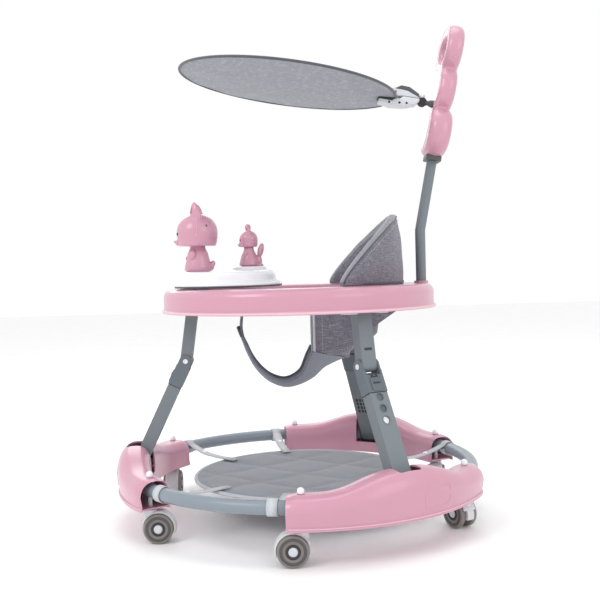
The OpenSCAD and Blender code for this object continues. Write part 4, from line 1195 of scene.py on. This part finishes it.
for i, (e, p) in enumerate(zip(edge_route, route)):
    nxt, prv = route[min(i + 1, len(route) - 1)], route[max(i - 1, 0)]
    t = Vector((0, nxt.x - prv.x, nxt.y - prv.y)).normalized()
    nrm = Vector((1, 0, 0)).cross(t).normalized()
    nrm = nrm if nrm.z > 0 or (abs(nrm.z) < 0.3 and nrm.y > 0) else -nrm
    for j in range(across + 1):
        s = -1 + 2 * j / across
        mix = (1 - s * s) ** 0.8
        c3 = Vector((p.z * s, e.x + (p.x - e.x) * mix, e.y + (p.y - e.y) * mix))
        c3 += nrm * (strap_wrinkle * noise.noise(Vector((s * 2, i * 0.16, 5))))
        top_side.append(c3 + nrm * strap_half_t)
        low_side.append(c3 - nrm * strap_half_t)
rows_s = len(route)
k0 = rows_s * (across + 1)
faces = grid_faces(rows_s, across + 1)
faces += [tuple(k0 + v for v in reversed(f)) for f in faces]
edge = [i * (across + 1) for i in range(rows_s)] + [(rows_s - 1) * (across + 1) + j for j in range(1, across + 1)]
edge += [i * (across + 1) + across for i in range(rows_s - 2, -1, -1)] + [j for j in range(across - 1, 0, -1)]
faces += [(edge[i], edge[(i + 1) % len(edge)], k0 + edge[(i + 1) % len(edge)], k0 + edge[i]) for i in range(len(edge))]
strap = made("crotch_strap_sheet", top_side + low_side, faces, strap_cloth, "seat_frame")
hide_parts("crotch_strap")
for k, j in (("left", across), ("right", 0)):
    line = [top_side[i * (across + 1) + j] for i in range(rows_s)]
    tube(f"strap_binding_{k}", line, 0.0024, binding_mid, "seat_frame", 10)
# The adjusting buckle at the strap's kink
kink = Vector((0, strap_middle[1][0] - 0.001, strap_middle[1][1] - 0.002))
fm = facing(kink, (1, 0, 0), (0, -0.94, -0.34))
outer_l, inner_l = rounded_loop(0.046, 0.021, 0.004), rounded_loop(0.034, 0.010, 0.002)
verts = [fm @ Vector((x, y, z)) for lp, z in ((outer_l, -0.0018), (outer_l, 0.0018), (inner_l, 0.0018),
    (inner_l, -0.0018)) for x, y in lp]
buckle = made("strap_buckle", verts, grid_faces(4, len(outer_l), closed_rows=True, closed_cols=True), dark_grey, None)
applied(bevel(buckle, 0.0006, 2))
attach(buckle, "seat_frame")

# ---------------------------------------------------------------- push handle
tilt_at = Vector(J["shade_tilt"]["pos_m"])
rod_lean = rad(11)
h_up = Vector((0, sin(rod_lean), cos(rod_lean)))
h_front = Vector((0, -cos(rod_lean), sin(rod_lean)))
bend_at = Vector((0, 0.244, 0.554))


def on_handle(x, up_by, front_by=0.0):
    return bend_at + Vector((x, 0, 0)) + h_up * up_by + h_front * front_by


def slab(up_by, half_w, half_h, half_t, front_by=0.0, power=2.3, n_round=7, segs=64):
    """A rounded oval plate across the handle's axis, as (verts, faces)."""
    verts, rings = [], 2 * n_round + 1
    for k in range(rings):
        q = pi * (k / (rings - 1) - 0.5)
        t = half_t * sin(q)
        shrink = half_t * 0.9 * (1 - cos(q) ** 0.75)
        for j in range(segs):
            a = 2 * pi * j / segs
            cx, cy = cos(a), sin(a)
            x = (half_w - shrink) * abs(cx) ** (2 / power) * (1 if cx > 0 else -1)
            y = (half_h - shrink) * abs(cy) ** (2 / power) * (1 if cy > 0 else -1)
            verts.append(on_handle(x, up_by + y, front_by + t))
    faces = grid_faces(rings, segs, closed_cols=True)
    return verts, faces + [tuple(range(segs)), tuple(range((rings - 1) * segs, rings * segs))]


def loop_slab(up_by, half_w, half_h, hole_w, hole_h, half_t, segs=96, sides=20):
    """An oval ring with a rounded section, as (verts, faces)."""
    verts = []
    mw, mh, rw, rh = (half_w + hole_w) / 2, (half_h + hole_h) / 2, (half_w - hole_w) / 2, (half_h - hole_h) / 2
    for j in range(segs):
        a = 2 * pi * j / segs
        for k in range(sides):
            q = 2 * pi * k / sides
            cq = abs(cos(q)) ** 0.8 * (1 if cos(q) > 0 else -1)
            sq = abs(sin(q)) ** 0.8 * (1 if sin(q) > 0 else -1)
            ca = abs(cos(a)) ** 0.9 * (1 if cos(a) > 0 else -1)
            sa = abs(sin(a)) ** 0.9 * (1 if sin(a) > 0 else -1)
            verts.append(on_handle((mw + rw * cq) * ca, up_by + (mh + rh * cq) * sa, half_t * sq))
    return verts, grid_faces(segs, sides, closed_rows=True, closed_cols=True)


tiers = {"low": (0.0605, 0.0500, 0.193), "mid": (0.0530, 0.0460, 0.279), "top": (0.0620, 0.0480, 0.356)}
blobs = [slab(tiers["low"][2], tiers["low"][0], tiers["low"][1], 0.0225, 0.0005),
    slab(tiers["mid"][2], tiers["mid"][0], tiers["mid"][1], 0.0175),
         loop_slab(tiers["top"][2], tiers["top"][0], tiers["top"][1], 0.036, 0.0225, 0.0165)]
grip_shell = merged("handle_shell", blobs, 0.0026, pink, "seat_frame", 7)
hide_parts("handle")
# A raised bead inside the front edge of the two upper tiers
bead_in, bead_face, bead_steps = 0.0085, 0.0150, 70
for name, from_a, to_a in (("mid", 140, 400), ("top", -60, 240)):
    w, h, u = tiers[name]
    arc = [rad(from_a + (to_a - from_a) * q / bead_steps) for q in range(bead_steps + 1)]
    line = [on_handle((w - bead_in) * cos(q), u + (h - bead_in) * sin(q), bead_face) for q in arc]
    tube(f"handle_bead_{name}", line, 0.0017, pink_lip, "seat_frame", 8)
# The white disc on the lowest tier
cu = tiers["low"][2]
face_at = 0.0215
cap_r = 0.037
dome = [(cap_r, -0.002), (cap_r, 0.0016), (cap_r - 0.0012, 0.0030), (cap_r - 0.0036, 0.0036), (cap_r - 0.0048, 0.0030),
    (cap_r - 0.0062, 0.0030),
        (cap_r * 0.66, 0.0046), (cap_r * 0.36, 0.0056), (0, 0.0060)]
cap_piece = lathe("handle_disc", dome, on_handle(0, cu + 0.002, face_at), h_front, white, "seat_frame",
    80)
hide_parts("handle_cap")
# Collar where the rod goes in
collar = rounded_loop(0.050, 0.031, 0.008)
cm = facing(on_handle(0, tiers["low"][2] - tiers["low"][1] - 0.0015), (1, 0, 0), h_up)
collar_low, collar_high, n = -0.004, 0.006, len(collar)
vs = [cm @ Vector((x, y, z)) for z in (collar_low, collar_high) for x, y in collar]
faces = grid_faces(2, n, closed_cols=True) + [tuple(range(n)), tuple(range(n, 2 * n))]
o = made("handle_collar", vs, faces, dark_grey, None)
applied(bevel(o, 0.0012, 3))
o.data.polygons.foreach_set("use_smooth", [True] * len(o.data.polygons))
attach(o, "seat_frame")

# ---------------------------------------------------------------- sunshade and its clamp
clo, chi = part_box("sunshade")
centre = (clo + chi) / 2
shade_r = (chi.x - clo.x) / 2
slope = math.asin(min(1, (chi.z - clo.z - 0.004) / (2 * shade_r)))
s_fwd = Vector((0, -cos(slope), sin(slope)))
s_up = Vector((0, sin(slope), cos(slope)))
s_x = Vector((1, 0, 0))


def on_disc(x, y, z=0.0):
    """A point of the shade: y runs back towards the clamp."""
    return centre + s_x * x - s_fwd * y + s_up * z


verts, rings, segs = [], 40, 144
thick = 0.0016
for face in (1, -1):
    for i in range(rings + 1):
        rr = (shade_r - 0.002) * (i / rings)
        for j in range(segs):
            a = 2 * pi * j / segs
            x, y = rr * cos(a), rr * sin(a)
            sag = -0.0045 * (1 - (rr / shade_r) ** 2)
            pull = 0.0011 * sin(11 * a + 1.3) * (rr / shade_r) ** 3 * (1 - (rr / shade_r) ** 8)
            grain = 0.0010 * noise.noise(Vector((x * 14, y * 14, 4)))
            verts.append(on_disc(x, y, sag + pull + grain + face * thick / 2))
half_n = (rings + 1) * segs
faces = grid_faces(rings + 1, segs, closed_cols=True)
faces += [tuple(half_n + v for v in reversed(f)) for f in faces]
faces += [(rings * segs + j, rings * segs + (j + 1) % segs, half_n + rings * segs + (j + 1) % segs,
    half_n + rings * segs + j) for j in range(segs)]
canopy = made("shade_cloth_disc", verts, faces, shade_cloth, None)
bm = bmesh.new()
bm.from_mesh(canopy.data)
bmesh.ops.remove_doubles(bm, verts=bm.verts, dist=1e-5)
bm.to_mesh(canopy.data)
bm.free()
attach(canopy, "shade")
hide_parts("sunshade")
rim_r, rim_steps = shade_r - 0.0022, 200
rim = [on_disc(rim_r * cos(2 * pi * k / rim_steps), rim_r * sin(2 * pi * k / rim_steps)) for k in range(rim_steps)]
tube("shade_rim", rim, 0.0026, binding, "shade", 10, closed=True)
loop = [on_disc((shade_r - 0.0085) * cos(2 * pi * k / 200), (shade_r - 0.0085) * sin(2 * pi * k / 200),
    0.0010 + 0.0004) for k in range(200)]
stitched("shade_stitching", loop, [s_up] * 200, shade_thread, "shade", 0.0062, 0.0042)


def prism(name, profile, half_x, material, body, width=0.0015, x0=0.0):
    """A bevelled solid with its (back, up) outline in the shade's own axes, at the clamp."""
    vs = [on_disc(x0 + x, y, z) for x in (-half_x, half_x) for y, z in profile]
    k = len(profile)
    fs = grid_faces(2, k, closed_cols=True) + [tuple(range(k)), tuple(range(k, 2 * k))]
    o = made(name, vs, fs, material, None)
    applied(bevel(o, width, 3, 20))
    o.data.polygons.foreach_set("use_smooth", [True] * len(o.data.polygons))
    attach(o, body)
    return o


kb = shade_r
end = (tilt_at - centre).dot(-s_fwd)
rise = (tilt_at - centre).dot(s_up)
lower_jaw = [(kb - 0.034, -0.0045), (kb - 0.034, -0.0120), (kb - 0.010, -0.0165), (kb + 0.016, -0.0150),
    (end - 0.013, rise - 0.0085),
             (end - 0.0075, rise - 0.003), (end - 0.0075, rise + 0.003), (kb + 0.012, 0.0035), (kb + 0.004, -0.0030)]
upper_jaw = [(kb - 0.030, 0.0045), (kb + 0.003, 0.0035), (kb + 0.010, 0.0045), (end - 0.0078, rise + 0.004),
    (end - 0.010, rise + 0.0115),
             (kb + 0.022, 0.0225), (kb + 0.006, 0.0240), (kb - 0.030, 0.0120)]
jaw = prism("clamp_lower_jaw", lower_jaw, 0.019, pale_grey, "shade", 0.002)
prism("clamp_upper_jaw", upper_jaw, 0.017, pale_grey, "shade", 0.002)
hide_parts("shade_clip")
lever = [(kb - 0.006, 0.0170), (kb + 0.006, 0.0245), (kb + 0.0225, 0.0232), (end - 0.0095, rise + 0.0122),
    (end - 0.0085, rise + 0.0050),
         (kb + 0.0200, 0.0150), (kb + 0.008, 0.0165)]
prism("clamp_lever", lever, 0.0182, dark_grey, "shade", 0.0015)
pad_profile = [(kb - 0.036, -0.0016), (kb - 0.036, -0.0062), (kb - 0.008, -0.0080), (kb - 0.004, -0.0016)]
prism("clamp_lower_pad", pad_profile, 0.0196, black, "shade", 0.0012)
prism("clamp_upper_pad", [(y, -z) for y, z in pad_profile], 0.0176, black, "shade", 0.0012)
screw = [(0.0023, -0.001), (0.0023, 0.0005), (0.0016, 0.0008), (0.0010, 0.0002), (0, 0.0002)]
for k, (y, z) in enumerate(((kb + 0.006, -0.0098), (kb + 0.020, -0.0090), (kb - 0.014, -0.0110), (kb - 0.004, 0.0110))):
    for s in (-1, 1):
        lathe(f"clamp_screw_{k}_{'a' if s > 0 else 'b'}", screw, on_disc(s * (0.0188 if z < 0 else 0.0168), y, z),
            s_x * s, black, "shade",
              16)
spring = []
for k in range(97):
    q = 2 * pi * 5 * k / 96
    spring.append(on_disc(-0.009 + 0.018 * k / 96, kb + 0.016 + 0.0032 * cos(q), 0.0015 + 0.0032 * sin(q)))
tube("clamp_spring", spring, 0.0006, steel, "shade", 6)
# The ball joint's housing, clamp ring and white knob
lathe("joint_ring", [(0.0078, -0.0052), (0.0092, -0.0044), (0.0092, 0.0044), (0.0078, 0.0052), (0.0042, 0.0052)],
    tilt_at, (1, 0, 0), black, "shade",
      32)
lathe("joint_knob", [(0.0030, -0.001), (0.0058, 0.0002), (0.0066, 0.003), (0.0060, 0.0056), (0.0042, 0.0072),
    (0, 0.0078)],
      tilt_at + Vector((0, 0, 0.0085)), (0, 0, 1), white, "shade", 32)
neck_dir = -h_front
lathe("joint_neck", [(0.0042, 0.004), (0.0058, 0.0075), (0.0042, 0.011), (0.0062, 0.0150), (0.0074, 0.0200),
    (0.0074, 0.0235)], tilt_at, neck_dir,
      dark_grey, "seat_frame", 32)

# ---------------------------------------------------------------- floor
floor_mat = moulded("studio_floor", srgb(250, 250, 250), 0.8, grain=60, bump=0.02)
floor = made("studio_floor", [(-9, -9, 0), (9, -9, 0), (9, 9, 0), (-9, 9, 0)], [(0, 1, 2, 3)], floor_mat, None)
